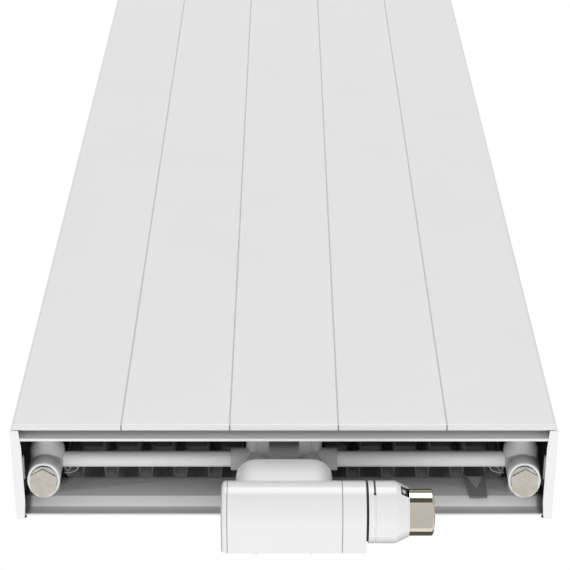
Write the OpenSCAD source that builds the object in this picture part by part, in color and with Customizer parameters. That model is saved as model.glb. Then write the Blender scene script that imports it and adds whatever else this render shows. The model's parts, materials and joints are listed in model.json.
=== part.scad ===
// Vertical panel radiator with a flat five-strip front and a thermostatic valve below it.
// Drawn in millimetres. X runs across, y runs from the front face to the wall, z runs up from
// the bottom edge. The last step moves it so that its origin is the centre of the four wall
// screws, on the wall.

/* [Front plate] */
// Width of one flat strip
strip_w = 100; // [92:1:120]
// Number of strips
strips = 5; // [3:1:7]
// Height of the radiator
panel_h = 1800; // [1400:10:2200]
// Sheet thickness
plate_t = 1.25; // [1:0.05:1.5]
// Outside radius of the edge bends
plate_bend_r = 2; // [1.7:0.1:3]
// Depth of the folded edges
plate_return = 5.8; // [4:0.1:6.4]
// Width of a groove
groove_w = 1.8; // [1.2:0.1:2.4]
// Depth of a groove
groove_d = 1.4; // [0.8:0.1:1.8]
// Thickness of the bonding strips behind the plate
bond_t = 6.45; // [6:0.05:9]
// Width of a bonding strip
bond_w = 11; // [6:1:12]
// Distance from the plate's ends to the bonding strips
bond_end = 44; // [20:1:80]

/* [Heating panels] */
// Thickness of each pressed sheet
sheet_t = 1.4; // [1.2:0.1:1.8]
// Distance from the front plate's edge to the sheets' edge
edge_inset = 1; // [0.6:0.1:1.4]
// Flat top of a water channel
chan_crest_w = 13; // [12:0.5:14]
// Foot of a water channel
chan_base_w = 23; // [20:0.5:24]
// Depth of a water channel
chan_d = 7.2; // [5:0.1:9]
// Depth of the channels that face the wall
back_chan_d = 3.3; // [2:0.1:4]
// Flat welded edge below the lower header
seam_h = 10.7; // [8:0.1:13]
// Height of the header's slope
slope_h = 7.5; // [6:0.5:9]
// Top of the header's flat face
header_h = 50; // [49:1:60]
// Space between the two heating panels
inner_gap = 65.6; // [64:0.2:80]

/* [Convectors] */
// Sheet thickness
fin_t = 0.5; // [0.4:0.1:0.8]
// Foot of a fin, welded on a water channel
fin_base_w = 11.6; // [10:0.1:12]
// Crest of a fin
fin_crest_w = 19; // [16:0.5:20]
// Depth of both convectors
fin_d = 30.3; // [26:0.1:31]
// Radius of the rolled end
fin_lip_r = 5; // [4:0.5:6]

/* [Tubes and tees] */
// Radius of the feed tubes
tube_r = 7.5; // [6:0.5:8]
// Wall of the feed tubes
tube_wall = 1; // [0.8:0.1:1.2]
// Radius of the water ways
water_r = 6; // [5:0.5:7]
// Height of the tube axis above the bottom edge
axis_z = 32; // [30:0.5:32.5]
// Distance between the two pipe connections
pipe_pitch = 50; // [48:0.5:56]
// Distance from the front plate's edge to a corner tee's axis
tee_inset = 26; // [25:0.5:32]
// Radius of a corner tee
tee_r = 16.25; // [14.8:0.05:16.5]
// Radius of its neck at the front panel
tee_neck_r = 11.5; // [9:0.5:13]
// Length of the neck
tee_neck_l = 8; // [6:0.5:10]
// Length of the cone behind the neck
tee_cone_l = 12; // [8:0.5:15]
// Radius of the tee's rear neck, at the rear panel
tee_rear_r = 10; // [9:0.5:12]
// Radius of the downward stub
stub_r = 15; // [14.8:0.05:15.4]
// Height of the stub's end above the bottom edge
stub_end = 0.5; // [0.2:0.1:2]
// Depth of the upper stubs' ends below the top edge
stub_top_drop = 15; // [14.6:0.1:15.4]
// Reach of the slanted collar behind a lower plug, below the stub's end
guard_drop = 11.3; // [8:0.1:12]
// Bore radius of that collar
guard_r = 13; // [12.8:0.05:13.2]
// Radius of the screwed port
port_r = 9.5; // [9:0.1:10]
// Radius of the recess at its mouth
seat_r = 12.5; // [12:0.1:13]
// Depth of the recess
seat_d = 3.5; // [3:0.1:5]
// Radius of a centre tee's round body
centre_r = 12.5; // [11.5:0.1:12.8]
// Radius of its neck at the front panel
centre_neck_r = 11; // [10:0.1:11.4]
// Rise of that neck above the tube axis
centre_lift = 5.5; // [3:0.5:6]
// Radius of its sleeve for the feed tube
sleeve_r = 10.9; // [9.5:0.1:11.2]
// Length of the sleeve from the pipe axis
sleeve_l = 25.3; // [20:0.1:30]
// Radius of its downward socket
socket_r = 11.5; // [10.9:0.1:12]
// Height of the socket's end above the bottom edge
socket_end = 8; // [7:0.5:10]
// Height of the bar between the centre tees
bar_h = 17; // [10:1:20]
// Depth of the bar
bar_d = 36; // [20:1:38]

/* [Plugs] */
// Width across the flats
plug_af = 24; // [22:0.1:25]
// Height of the hexagon
plug_h = 10.5; // [6:0.5:10.6]
// Chamfer of the hexagon
plug_chamfer = 1.3; // [0.5:0.1:2]
// Reach of the thread into the port
plug_thread_l = 12; // [8:1:16]
// Radius of the air vent's screw
vent_r = 3; // [2:0.5:4]
// Radius of the air vent's outlet ring
vent_ring_r = 8; // [6:0.5:9]

/* [Casing] */
// How far the side panels stand out past the front plate
side_step = 2.7; // [2.6:0.1:4]
// Sheet thickness of the side panels
side_t = 1.25; // [1:0.05:1.4]
// Gap between the front plate and the side panels
side_gap = 0.2; // [0.1:0.1:0.5]
// Width of their front lip
side_front_lip = 7.9; // [6:0.1:9]
// Width of their bottom face
side_foot = 9.3; // [8:0.1:11]
// Chamfer of their outer front edge
side_chamfer = 2; // [0.5:0.1:2.4]
// Depth of the front taper of the bottom face
side_taper = 19; // [10:1:30]
// Thickness of the top grille
grille_t = 1.5; // [1:0.1:2]
// Height of the grille's skirt
grille_skirt = 5; // [3:0.5:5.5]
// Width of a grille slot
slot_w = 5; // [4:0.5:8]
// Length of a grille slot
slot_l = 26; // [20:1:27]
// Distance from one slot to the next
slot_pitch = 10; // [9:0.5:14]
// Width of the catch bracket at its top
catch_top_w = 21; // [16:0.5:24]
// Width of the catch bracket at its foot
catch_foot_w = 16; // [12:0.5:20]
// Depth of the catch bracket
catch_d = 2.5; // [2:0.5:5]
// Width of the left leg's tip
catch_tip = 2.6; // [1.5:0.1:3.5]

/* [Valve] */
// Distance of the valve's axis below the bottom edge
valve_drop = 55.7; // [55:0.1:60]
// Radius of the valve body
gallery_r = 16; // [15:0.1:17]
// Length of the valve body
gallery_l = 80; // [76:1:84]
// Radius of the risers to the radiator
riser_r = 12; // [11:0.1:12.4]
// Height of the risers above the valve's axis
riser_l = 23.5; // [22:0.5:25]
// Radius of the pipe spigots
spigot_r = 11.5; // [10.5:0.1:12]
// Length of the pipe spigots from the valve's axis
spigot_l = 28; // [27:0.5:34]
// Radius of the pipes that the valve takes
pipe_r = 7.5; // [6:0.5:8]
// Depth of a pipe socket
pipe_depth = 12; // [10:0.5:14]
// Width across the flats of a pipe nut
nut_af = 25; // [24.6:0.1:26]
// Length of a pipe nut
nut_l = 13; // [12:0.5:16]
// Radius of a tailpiece
tail_r = 9; // [8:0.1:9.2]
// Width across the flats of a union nut
union_af = 27; // [26:0.5:28]
// Length of a union nut
union_l = 16; // [14:0.5:18]
// Radius of a shut-off spindle
spindle_r = 5; // [4:0.1:6]
// Radius of a shut-off boss
boss_r = 9; // [8:0.1:10]
// Reach of a shut-off boss in front of the valve's axis
boss_l = 19; // [18:0.5:21]
// Radius of the insert's thread
insert_r = 15; // [14:0.5:15.5]
// Length of the insert outside the body
insert_l = 16; // [15:0.5:18]
// Travel of the valve stem
stem_lift = 2.2; // [1.5:0.1:3]
// Radius of the valve stem
stem_r = 1.6; // [1.2:0.1:2]
// Outside radius of the valve spring
spring_r = 5.4; // [4.5:0.1:6]
// Radius of the spring's wire
wire_r = 0.55; // [0.4:0.05:0.7]
// Turns of the spring
spring_turns = 6; // [4:1:8]

/* [Valve cover] */
// Radius of the cover
cover_r = 28.2; // [27.6:0.1:30]
// Wall of the cover
cover_wall = 2.2; // [1.6:0.1:2.5]
// Reach of the cover behind the valve's axis
cover_rear = 25.6; // [24:0.1:27]
// Left end of the main shell
shell_left = 51.1; // [48:0.1:54]
// Right end of the main shell
shell_right = 52.5; // [50:0.1:56]
// Length of the left end cap
end_cap_l = 5.6; // [5.2:0.1:8]
// Radius of the end cap's edge
end_cap_r = 4.6; // [3:0.1:5]
// Length of the right adapter
adapter_l = 21.4; // [20:0.1:24]
// Depth of the joint lines
seam_line = 0.5; // [0.2:0.05:0.6]
// Width of the hood
hood_w = 90; // [88:1:96]
// Depth of the hood
hood_d = 46; // [44:0.5:47]
// Height of the hood's rim above the bottom edge
hood_top = 2; // [1:0.5:4]
// Radius of the hood's rim
hood_rim_r = 8; // [3:0.5:8]
// Wall of the hood
hood_wall = 2; // [1.6:0.1:2.2]

/* [Thermostatic head] */
// Gap between the cover and the grip
head_gap = 2.1; // [2:0.1:3]
// Radius of the grip
grip_r = 28.2; // [27:0.1:29]
// Length of the grip's round part
grip_l = 24.4; // [22:0.1:30]
// Length of the grip's cone
cone_l = 12.5; // [11:0.1:15]
// Radius of the cone's end
cone_r = 22.2; // [21.8:0.1:23]
// Wall of the grip
grip_wall = 2; // [1.6:0.1:2.2]
// Radius of the metal cap
cap_r = 21.45; // [20.6:0.05:21.5]
// Length of the metal cap's round part
cap_l = 21.7; // [16:0.1:26]
// Height of the cap's dome
cap_dome = 2.2; // [1.5:0.1:3]
// Radius of the head's base tube
base_r = 18; // [17.8:0.1:18.2]
// Width of the window in the cone
window_w = 7.5; // [5:0.5:8]
// Height of the window
window_h = 16; // [12:0.5:18]
// Angle between two marks of the scale
mark_step = 54; // [45:1:60]
// Radius of the sensor capsule
capsule_r = 13; // [11:0.5:14]
// Length of the sensor capsule
capsule_l = 24; // [18:1:26]
// Radius of the push rod
rod_r = 2.5; // [2:0.1:3]

/* [Wall fixing] */
// Distance from the radiator's back to the wall
wall_gap = 26; // [24:0.5:40]
// Distance from the radiator's ends to the wall screws
fix_inset = 200; // [150:5:300]
// Radius of a wall screw hole
screw_r = 4.5; // [3:0.5:6]
// Width of a wall bracket
bracket_w = 40; // [34:1:44]
// Height of a wall bracket
bracket_h = 120; // [110:5:150]
// Sheet thickness of the wall brackets
bracket_t = 3; // [2:0.5:4]
// Height of a hanging lug
lug_h = 60; // [50:1:70]
// Sheet thickness of the lugs
lug_t = 2.5; // [2:0.1:3]

/* [Hidden] */
$fn = 72;

// Overrun of every cut
over = 1;
// Clearance of a rigid piece beside its seat
seat_gap = 0.05;
// Clearance of a spindle or shaft that turns
run_gap = 0.06;
// Clearance of a plastic piece that turns or slides
loose_gap = 0.3;

// Widths
panel_w = strips * strip_w;
sheet_half_w = panel_w / 2 - edge_inset;
chan_per_strip = 3;
chan_n = strips * chan_per_strip;
chan_pitch = strip_w / chan_per_strip;
chan_last = (chan_n - 1) / 2;
bare_channels = 1;
fin_last = chan_last - bare_channels;
header_half_l = chan_last * chan_pitch + chan_base_w / 2;
side_x = panel_w / 2 + side_step;
side_rear_lip = side_x - header_half_l - loose_gap;
tee_x = panel_w / 2 - tee_inset;

// Depths from the front face
front_seam_y = plate_t + bond_t + chan_d + sheet_t;
front_in_y = front_seam_y + sheet_t + chan_d;
rear_in_y = front_in_y + inner_gap;
rear_seam_y = rear_in_y + chan_d + sheet_t;
back_y = rear_seam_y + sheet_t + back_chan_d;
axis_y = (front_in_y + rear_in_y) / 2;
wall_y = back_y + wall_gap;
side_y = plate_return + side_gap;

// Heights
top_axis_z = panel_h - axis_z;
header_end_z = header_h + slope_h;
fix_z = panel_h / 2;
valve_z = -valve_drop;

// Places of the two pipes and the four corners
pipe_x = pipe_pitch / 2;
supply_x = -pipe_x;
return_x = pipe_x;

// Colours
WHITE = [0.9, 0.9, 0.9];
PLASTIC = [0.93, 0.93, 0.94];
NICKEL = [0.75, 0.72, 0.66];
BRASS = [0.78, 0.66, 0.42];
STEEL = [0.62, 0.63, 0.65];
BLACK = [0.05, 0.05, 0.05];
RUBBER = [0.08, 0.08, 0.08];

// Moves the radiator into its frame
module in_frame() {
    translate([0, -wall_y, -fix_z]) children();
}

// Round bars and rings along each direction
module rod_x(r, x0, x1) {
    translate([x0, 0, 0]) rotate([0, 90, 0]) cylinder(r = r, h = x1 - x0);
}

module rod_y(r, y0, y1) {
    translate([0, y0, 0]) rotate([-90, 0, 0]) cylinder(r = r, h = y1 - y0);
}

module rod_z(r, z0, z1) {
    translate([0, 0, z0]) cylinder(r = r, h = z1 - z0);
}

module ring_z(r_out, r_in, z0, z1) {
    difference() {
        rod_z(r_out, z0, z1);
        rod_z(r_in, z0 - over, z1 + over);
    }
}

module ring_x(r_out, r_in, x0, x1) {
    difference() {
        rod_x(r_out, x0, x1);
        rod_x(r_in, x0 - over, x1 + over);
    }
}

// Cone along X from radius ra to radius rb
module cone_x(ra, rb, x0, x1) {
    translate([x0, 0, 0]) rotate([0, 90, 0]) cylinder(r1 = ra, r2 = rb, h = x1 - x0);
}

// Pushes a shape drawn in (y, z) along X
module along_x(x0, x1) {
    translate([x0, 0, 0]) rotate([90, 0, 90]) linear_extrude(x1 - x0) children();
}

// Turns a profile drawn in (radius, x) about the X axis
module about_x(angle = 360) {
    rotate([0, 90, 0]) rotate_extrude(angle = angle) children();
}

// Block from corner to corner
module block(a, b) {
    translate(a) cube([b.x - a.x, b.y - a.y, b.z - a.z]);
}

// Hexagon along z, corners towards the front and the wall
module hex_z(af, z0, z1) {
    translate([0, 0, z0]) rotate(90) cylinder(r = af / sqrt(3), h = z1 - z0, $fn = 6);
}

// Front plate

// Box with rounded front edges, as deep as the folded edges
module rounded_tray(half_w, z0, z1, y0, y1, r) {
    intersection() {
        translate([0, 0, z0]) linear_extrude(z1 - z0) tray_outline(-half_w, half_w, y0, y1, r);
        along_x(-half_w, half_w) rotate(90) mirror([0, 1])
            tray_outline(z0, z1, y0, y1, r);
    }
}

// Rectangle from a0 to a1 and y0 to y1 with its two corners at y0 rounded
module tray_outline(a0, a1, y0, y1, r) {
    translate([a0 + r, y0]) square([a1 - a0 - 2 * r, y1 - y0]);
    translate([a0, y0 + r]) square([a1 - a0, y1 - y0 - r]);
    for (a = [a0 + r, a1 - r]) translate([a, y0 + r]) circle(r = r);
}

// Triangular bar in the sheet, width w and depth d, standing on z
module groove_bar(w, d, y0, z0, z1) {
    translate([0, 0, z0]) linear_extrude(z1 - z0)
        polygon([[-w / 2, y0], [w / 2, y0], [0, y0 + d]]);
}

module front_panel() {
    half_w = panel_w / 2;
    in_r = plate_bend_r - plate_t;
    ridge_w = groove_w + 2 * plate_t;
    ridge_d = groove_d + plate_t;
    lines = [for (i = [1 : strips - 1]) i * strip_w - half_w];
    color(WHITE) in_frame() difference() {
        union() {
            difference() {
                rounded_tray(half_w, 0, panel_h, 0, plate_return, plate_bend_r);
                rounded_tray(half_w - plate_t, plate_t, panel_h - plate_t,
                    plate_t, plate_return + over, in_r);
            }
            for (x = lines) translate([x, 0, 0])
                groove_bar(ridge_w, ridge_d, plate_t / 2, plate_t / 2, panel_h - plate_t / 2);
        }
        for (x = lines) translate([x, 0, 0])
            groove_bar(groove_w * (groove_d + over) / groove_d, groove_d + over, -over,
                -over, panel_h + over);
    }
}

module bonding_strips() {
    color(RUBBER) in_frame() for (i = [0 : strips - 1]) {
        x = (i - (strips - 1) / 2) * strip_w;
        block([x - bond_w / 2, plate_t, bond_end],
            [x + bond_w / 2, plate_t + bond_t, panel_h - bond_end]);
    }
}

// Heating panels

// How far a slope of a given run and rise shifts sideways for each unit of wall thickness
function slope_shift(run, rise) = (norm([run, rise]) - run) / rise;

// Channel outline across the sheet, from its foot to its crest
module channel_outline(depth, base, shrink) {
    side = shrink * slope_shift((chan_base_w - chan_crest_w) / 2, depth);
    b = chan_base_w / 2 - side;
    c = chan_crest_w / 2 - side;
    polygon([[-b, base], [-b, sheet_t - shrink], [-c, sheet_t + depth - shrink],
        [c, sheet_t + depth - shrink], [b, sheet_t - shrink], [b, base]]);
}

// Header outline in (y, z), from the seam edge to the flat face
module header_outline(depth, base, shrink) {
    side = shrink * slope_shift(slope_h, depth);
    y0 = sheet_t - shrink;
    y1 = sheet_t + depth - shrink;
    polygon([[base, seam_h + side], [y0, seam_h + side],
        [y1, seam_h + slope_h + side], [y1, header_h - side],
        [y0, header_end_z - side], [base, header_end_z - side]]);
}

// Pressed sheet with its seam face at y = 0 and its channels bulging towards +y
module pressed_sheet(depth, port_holes) {
    mid = (seam_h + header_h) / 2 + slope_h / 2;
    difference() {
        union() {
            block([-sheet_half_w, 0, 0], [sheet_half_w, sheet_t, panel_h]);
            sheet_bulges(depth, 0, 0, mid);
        }
        sheet_bulges(depth, -over, sheet_t, mid);
        if (port_holes)
            for (x = [-tee_x, tee_x], z = [axis_z, top_axis_z]) translate([x, 0, z])
                rod_y(water_r, -over, sheet_t + depth + over);
    }
}

module sheet_bulges(depth, base, shrink, mid) {
    l = header_half_l - shrink;
    along_x(-l, l) header_outline(depth, base, shrink);
    translate([0, 0, panel_h]) mirror([0, 0, 1]) along_x(-l, l)
        header_outline(depth, base, shrink);
    for (i = [-chan_last : chan_last]) translate([i * chan_pitch, 0, mid])
        linear_extrude(panel_h - 2 * mid) channel_outline(depth, base, shrink);
}

module front_heater_outer_sheet() {
    color(WHITE) in_frame() translate([0, front_seam_y, 0]) mirror([0, 1, 0])
        pressed_sheet(chan_d, false);
}

module front_heater_inner_sheet() {
    color(WHITE) in_frame() translate([0, front_seam_y, 0]) pressed_sheet(chan_d, true);
}

module rear_heater_inner_sheet() {
    color(WHITE) in_frame() translate([0, rear_seam_y, 0]) mirror([0, 1, 0])
        pressed_sheet(chan_d, true);
}

module rear_heater_outer_sheet() {
    color(WHITE) in_frame() translate([0, rear_seam_y, 0]) pressed_sheet(back_chan_d, false);
}

// Convectors

// Points of one face of the folded sheet: foot half width, crest half width and both levels
function fin_points(foot, crest, low, high) = [
    for (i = [-fin_last : fin_last])
        let (x = i * chan_pitch, last = i == fin_last, next = x + chan_pitch / 2)
        each concat([[x - foot, low], [x + foot, low]],
            last ? [] : [[next - crest, high], [next + crest, high]])
];

function reversed(list) = [for (i = [len(list) - 1 : -1 : 0]) list[i]];

// Folded sheet with its feet at y = 0 and its crests at y = fin_d
module fin_sheet() {
    foot = fin_base_w / 2;
    crest = fin_crest_w / 2;
    end_x = fin_last * chan_pitch + foot;
    h = panel_h - 2 * header_h;
    translate([0, 0, header_h]) {
        linear_extrude(h) polygon(concat(
            fin_points(foot - fin_t / 2, crest + fin_t / 2, fin_t, fin_d),
            reversed(fin_points(foot + fin_t / 2, crest - fin_t / 2, 0, fin_d - fin_t))));
        for (side = [0, 1]) mirror([side, 0, 0]) translate([end_x, fin_lip_r, 0])
            linear_extrude(h) lip_outline();
    }
}

// Half round lip that ends a convector
module lip_outline() {
    intersection() {
        difference() {
            circle(r = fin_lip_r);
            circle(r = fin_lip_r - fin_t);
        }
        translate([-fin_t / 2, -fin_lip_r - over])
            square([fin_lip_r + over + fin_t, 2 * fin_lip_r + 2 * over]);
    }
}

module front_convector() {
    color(WHITE) in_frame() translate([0, front_in_y, 0]) fin_sheet();
}

module rear_convector() {
    color(WHITE) in_frame() translate([0, rear_in_y, 0]) mirror([0, 1, 0]) fin_sheet();
}

// Corner tees, drawn for the lower right corner with the port downwards

// Moves a corner piece to a corner: side is -1 or 1, and top turns it upside down
module at_corner(side, top) {
    translate([side * tee_x, axis_y, top ? top_axis_z : axis_z])
        mirror([side < 0 ? 1 : 0, 0, 0]) mirror([0, 0, top ? 1 : 0]) children();
}

// Distance from the tee's axis to the stub's end
function stub_l(top) = top ? axis_z - stub_top_drop : axis_z - stub_end;

module corner_tee(top) {
    half_gap = inner_gap / 2;
    cone_y = tee_neck_l - half_gap;
    full_y = cone_y + tee_cone_l;
    rear_y = tee_neck_l / 4;
    end = -stub_l(top);
    difference() {
        union() {
            rod_y(tee_r, full_y, rear_y);
            translate([0, rear_y, 0]) rotate([-90, 0, 0])
                cylinder(r1 = tee_r, r2 = tee_rear_r, h = tee_cone_l);
            rod_y(tee_rear_r, rear_y + tee_cone_l, half_gap);
            translate([0, cone_y, 0]) rotate([-90, 0, 0])
                cylinder(r1 = tee_neck_r, r2 = tee_r, h = tee_cone_l);
            rod_y(tee_neck_r, -half_gap, cone_y);
            rod_z(stub_r, end, 0);
            if (!top) plug_guard(end);
        }
        rod_y(water_r, -half_gap - over, half_gap + over);
        rod_z(port_r, end - over, 0);
        rod_z(seat_r, end - over, end + seat_d);
        if (!top) rod_z(guard_r, end - guard_drop - over, end);
        if (!top) rod_x(tube_r + seat_gap, -tee_r - over, -water_r);
    }
}

// Slanted collar round a lower plug: full height behind it, none in front
module plug_guard(end) {
    front = stub_r * 0.9;
    slant = atan(guard_drop / (front + stub_r));
    difference() {
        rod_z(stub_r, end - guard_drop, end + seat_gap);
        translate([0, -front, end]) rotate([-slant, 0, 0])
            block([-stub_r - over, -stub_r, -2 * guard_drop], [stub_r + over, 3 * stub_r, 0]);
    }
}

module tee_bottom_left() {
    color(WHITE) in_frame() at_corner(-1, false) corner_tee(false);
}

module tee_bottom_right() {
    color(WHITE) in_frame() at_corner(1, false) corner_tee(false);
}

module tee_top_left() {
    color(WHITE) in_frame() at_corner(-1, true) corner_tee(true);
}

module tee_top_right() {
    color(WHITE) in_frame() at_corner(1, true) corner_tee(true);
}

// Plugs and air vent, drawn with the stub's end at z = 0 and the port above it

collar_r = seat_r - loose_gap;
seal_t = seat_d * 0.45;
seal_low = seat_d - seal_t;
collar_low = -0.8;
vent_head_h = plug_h * 0.7;
plug_round_r = guard_r - loose_gap / 2;

// Hexagon with rounded corners and a chamfered end
module chamfered_hex(af, low, high, chamfer) {
    corner = plug_round_r;
    intersection() {
        hex_z(af, low, high);
        union() {
            rod_z(corner, low + chamfer, high);
            translate([0, 0, low])
                cylinder(r1 = corner - chamfer, r2 = corner, h = chamfer);
        }
    }
}

module plug(head_h) {
    chamfered_hex(plug_af, collar_low - head_h, collar_low, plug_chamfer);
    rod_z(collar_r, collar_low, seal_low);
    rod_z(port_r - seat_gap, seal_low, seat_d + plug_thread_l);
}

module at_port(side, top) {
    at_corner(side, top) translate([0, 0, -stub_l(top)]) children();
}

module plug_bottom_left() {
    color(NICKEL) in_frame() at_port(-1, false) plug(plug_h);
}

module plug_bottom_right() {
    color(NICKEL) in_frame() at_port(1, false) plug(plug_h);
}

module plug_top_left() {
    color(NICKEL) in_frame() at_port(-1, true) plug(vent_head_h);
}

module plug_seals() {
    color(RUBBER) in_frame() for (side = [-1, 1], top = [false, true])
        at_port(side, top) ring_z(collar_r, port_r, seal_low, seat_d);
}

// Air vent in the top right port: the screw turns in the body, and a ring turns the outlet
vent_bore_r = vent_r + run_gap;
vent_seat_up = 1.2;
vent_seat_z = collar_low + vent_seat_up;
vent_ring_h = vent_head_h * 0.45;
vent_neck_r = vent_ring_r * 0.72;
vent_head_low = collar_low - vent_head_h;
vent_hex_low = vent_head_low + vent_ring_h;

module vent_body() {
    color(NICKEL) in_frame() at_port(1, true) difference() {
        union() {
            chamfered_hex(plug_af, vent_hex_low, collar_low, plug_chamfer / 2);
            rod_z(vent_neck_r, vent_head_low, vent_hex_low);
            rod_z(collar_r, collar_low, seal_low);
            rod_z(port_r - seat_gap, seal_low, seat_d + plug_thread_l);
        }
        rod_z(vent_bore_r, vent_head_low - over, vent_seat_z);
        rod_z(vent_r / 3, vent_seat_z - over, seat_d + plug_thread_l + over);
    }
}

module vent_screw() {
    square_w = vent_r * 1.1;
    low = vent_head_low;
    color(BRASS) in_frame() at_port(1, true) {
        rod_z(vent_r, low + vent_ring_h / 2, vent_seat_z);
        block([-square_w / 2, -square_w / 2, low - vent_r / 3],
            [square_w / 2, square_w / 2, low + vent_ring_h / 2]);
    }
}

module vent_outlet_ring() {
    color(PLASTIC) in_frame() at_port(1, true) difference() {
        union() {
            rod_z(vent_ring_r, vent_head_low, vent_hex_low - loose_gap / 3);
            rotate(-90) translate([0, 0, vent_head_low + vent_ring_h / 2])
                rod_x(vent_ring_h / 2.6, vent_neck_r, vent_ring_r + vent_r);
        }
        rod_z(vent_neck_r + run_gap, vent_head_low - over, vent_hex_low + over);
        rotate(-90) translate([0, 0, vent_head_low + vent_ring_h / 2])
            rod_x(vent_ring_h / 6, 0, vent_ring_r + vent_r + over);
    }
}

// Centre tees and feed tubes

module at_pipe(x) {
    translate([x, axis_y, axis_z]) mirror([x < 0 ? 1 : 0, 0, 0]) children();
}

// Drawn for the right pipe, with the sleeve towards +X
module centre_tee() {
    socket_low = socket_end - axis_z;
    difference() {
        union() {
            translate([0, 0, centre_lift]) rod_y(centre_neck_r, -inner_gap / 2, 0);
            sphere(r = centre_r);
            rod_x(sleeve_r, 0, sleeve_l);
            rod_z(socket_r, socket_low, 0);
        }
        rod_x(water_r, 0, sleeve_l + over);
        rod_x(tube_r + seat_gap, sleeve_l / 2, sleeve_l + over);
        rod_z(water_r, socket_low - over, 0);
        rod_z(tail_r + seat_gap, socket_low - over, socket_low + socket_r);
    }
}

module centre_tee_supply() {
    color(WHITE) in_frame() at_pipe(supply_x) centre_tee();
}

module centre_tee_return() {
    color(WHITE) in_frame() at_pipe(return_x) centre_tee();
}

module centre_spacer_bar() {
    color(WHITE) in_frame() difference() {
        block([-pipe_x, front_in_y, axis_z - bar_h / 2],
            [pipe_x, front_in_y + bar_d, axis_z + bar_h / 2]);
        for (x = [-pipe_x, pipe_x]) translate([x, 0, axis_z]) {
            translate([0, 0, centre_lift]) rod_y(centre_neck_r + seat_gap, 0, rear_in_y);
            translate([0, axis_y, 0]) {
                sphere(r = centre_r + seat_gap);
                rod_z(socket_r + seat_gap, -bar_h, 0);
            }
        }
    }
}

// Tube from inside the centre tee's sleeve to inside the corner tee
module feed_tube() {
    x0 = pipe_x + sleeve_l / 2;
    x1 = tee_x - water_r - tube_wall;
    translate([0, axis_y, axis_z]) ring_x(tube_r, tube_r - tube_wall, x0, x1);
}

module feed_tube_supply() {
    color(WHITE) in_frame() mirror([1, 0, 0]) feed_tube();
}

module feed_tube_return() {
    color(WHITE) in_frame() feed_tube();
}

// Catch bracket on the rear panel's lower header
catch_x = (fin_last - 0.5) * chan_pitch;
catch_low = seam_h;

module catch_bracket() {
    top = catch_top_w / 2;
    foot_r = catch_top_w / 2;
    foot_l = foot_r - catch_foot_w;
    h = header_h - catch_low;
    color(WHITE) in_frame() translate([catch_x, rear_in_y, catch_low])
        rotate([90, 0, 0]) difference() {
            linear_extrude(catch_d)
                polygon([[-top, h], [top, h], [foot_r, 0], [foot_l, 0]]);
            translate([0, 0, -over]) linear_extrude(catch_d + 2 * over)
                polygon([[catch_tip - top, h + over], [top - catch_tip / 3, h + over],
                    [catch_tip / 10, h * 0.44]]);
        }
}

// Side panels: a folded channel with a bottom and a top face
module side_panel() {
    x1 = side_x;
    front = [[x1 - side_front_lip, side_y], [x1 - side_chamfer, side_y],
        [x1, side_y + side_chamfer]];
    foot = [[x1, back_y], [x1 - side_rear_lip, back_y], [x1 - side_foot, back_y - side_taper],
        [x1 - side_foot, side_y + side_taper]];
    inner = [[x1 - side_t, side_y + side_chamfer + side_t / 2],
        [x1 - side_chamfer - side_t / 2, side_y + side_t],
        [x1 - side_front_lip - over, side_y + side_t],
        [x1 - side_front_lip - over, side_y + side_taper],
        [x1 - side_foot - over, side_y + side_taper],
        [x1 - side_foot - over, back_y - side_t], [x1 - side_t, back_y - side_t]];
    difference() {
        translate([0, 0, -side_t]) linear_extrude(panel_h + 2 * side_t)
            polygon(concat(front, foot));
        linear_extrude(panel_h) polygon(inner);
        block([x1 - side_foot - over, side_y + side_t, 0],
            [x1 - side_t - side_chamfer, back_y - side_t, panel_h]);
    }
}

module side_panel_left() {
    color(WHITE) in_frame() mirror([1, 0, 0]) side_panel();
}

module side_panel_right() {
    color(WHITE) in_frame() side_panel();
}

// Spring clips that hold the side panels on the welded edges
clip_h = seam_h * 1.6;
clip_wall = side_t;

module clip_at(seam_y) {
    x1 = side_x - side_t;
    x0 = header_half_l + loose_gap;
    y0 = seam_y - sheet_t;
    y1 = seam_y + sheet_t;
    difference() {
        block([x0, y0 - clip_wall, 0], [x1, y1 + clip_wall, clip_h]);
        block([x0 - over, y0, -over], [sheet_half_w, y1, clip_h + over]);
    }
}

module side_clips() {
    places = [seam_h, fix_inset, fix_z - clip_h / 2, panel_h - fix_inset,
        panel_h - seam_h - clip_h];
    color(STEEL) in_frame() for (side = [0, 1], z = places)
        mirror([side, 0, 0]) translate([0, 0, z]) {
            clip_at(front_seam_y);
            clip_at(rear_seam_y);
        }
}

// Top grille: a slotted plate with a folded skirt that drops between the panels
module top_grille() {
    y0 = front_seam_y + sheet_t + loose_gap;
    y1 = rear_seam_y - sheet_t - loose_gap;
    half_w = side_x - side_foot - loose_gap;
    count = floor((half_w - slot_pitch) / slot_pitch);
    color(WHITE) in_frame() translate([0, 0, panel_h]) difference() {
        block([-half_w, y0, -grille_skirt], [half_w, y1, 0]);
        block([-half_w + grille_t, y0 + grille_t, -grille_skirt - over],
            [half_w - grille_t, y1 - grille_t, -grille_t]);
        for (i = [-count : count], row = [-1, 1])
            translate([i * slot_pitch, axis_y + row * (slot_l + slot_w) / 2, 0])
                block([-slot_w / 2, -slot_l / 2, -grille_t - over],
                    [slot_w / 2, slot_l / 2, over]);
    }
}

// Hanging lugs on the back, and the wall brackets that they hook on to
lug_x = (chan_per_strip + 0.5) * chan_pitch;
lug_w = chan_pitch + chan_crest_w;
lug_out = wall_gap * 0.31;
tongue_y = back_y + lug_out;
tongue_l = lug_h * 0.42;
lip_gap = loose_gap / 2;
lip_y = tongue_y - lug_t - lip_gap;
pad_t = lug_t * 0.4;
arm_h = bracket_h * 0.12;
hook_z = bracket_h * 0.4;
fix_places = [fix_inset, panel_h - fix_inset];

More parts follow.
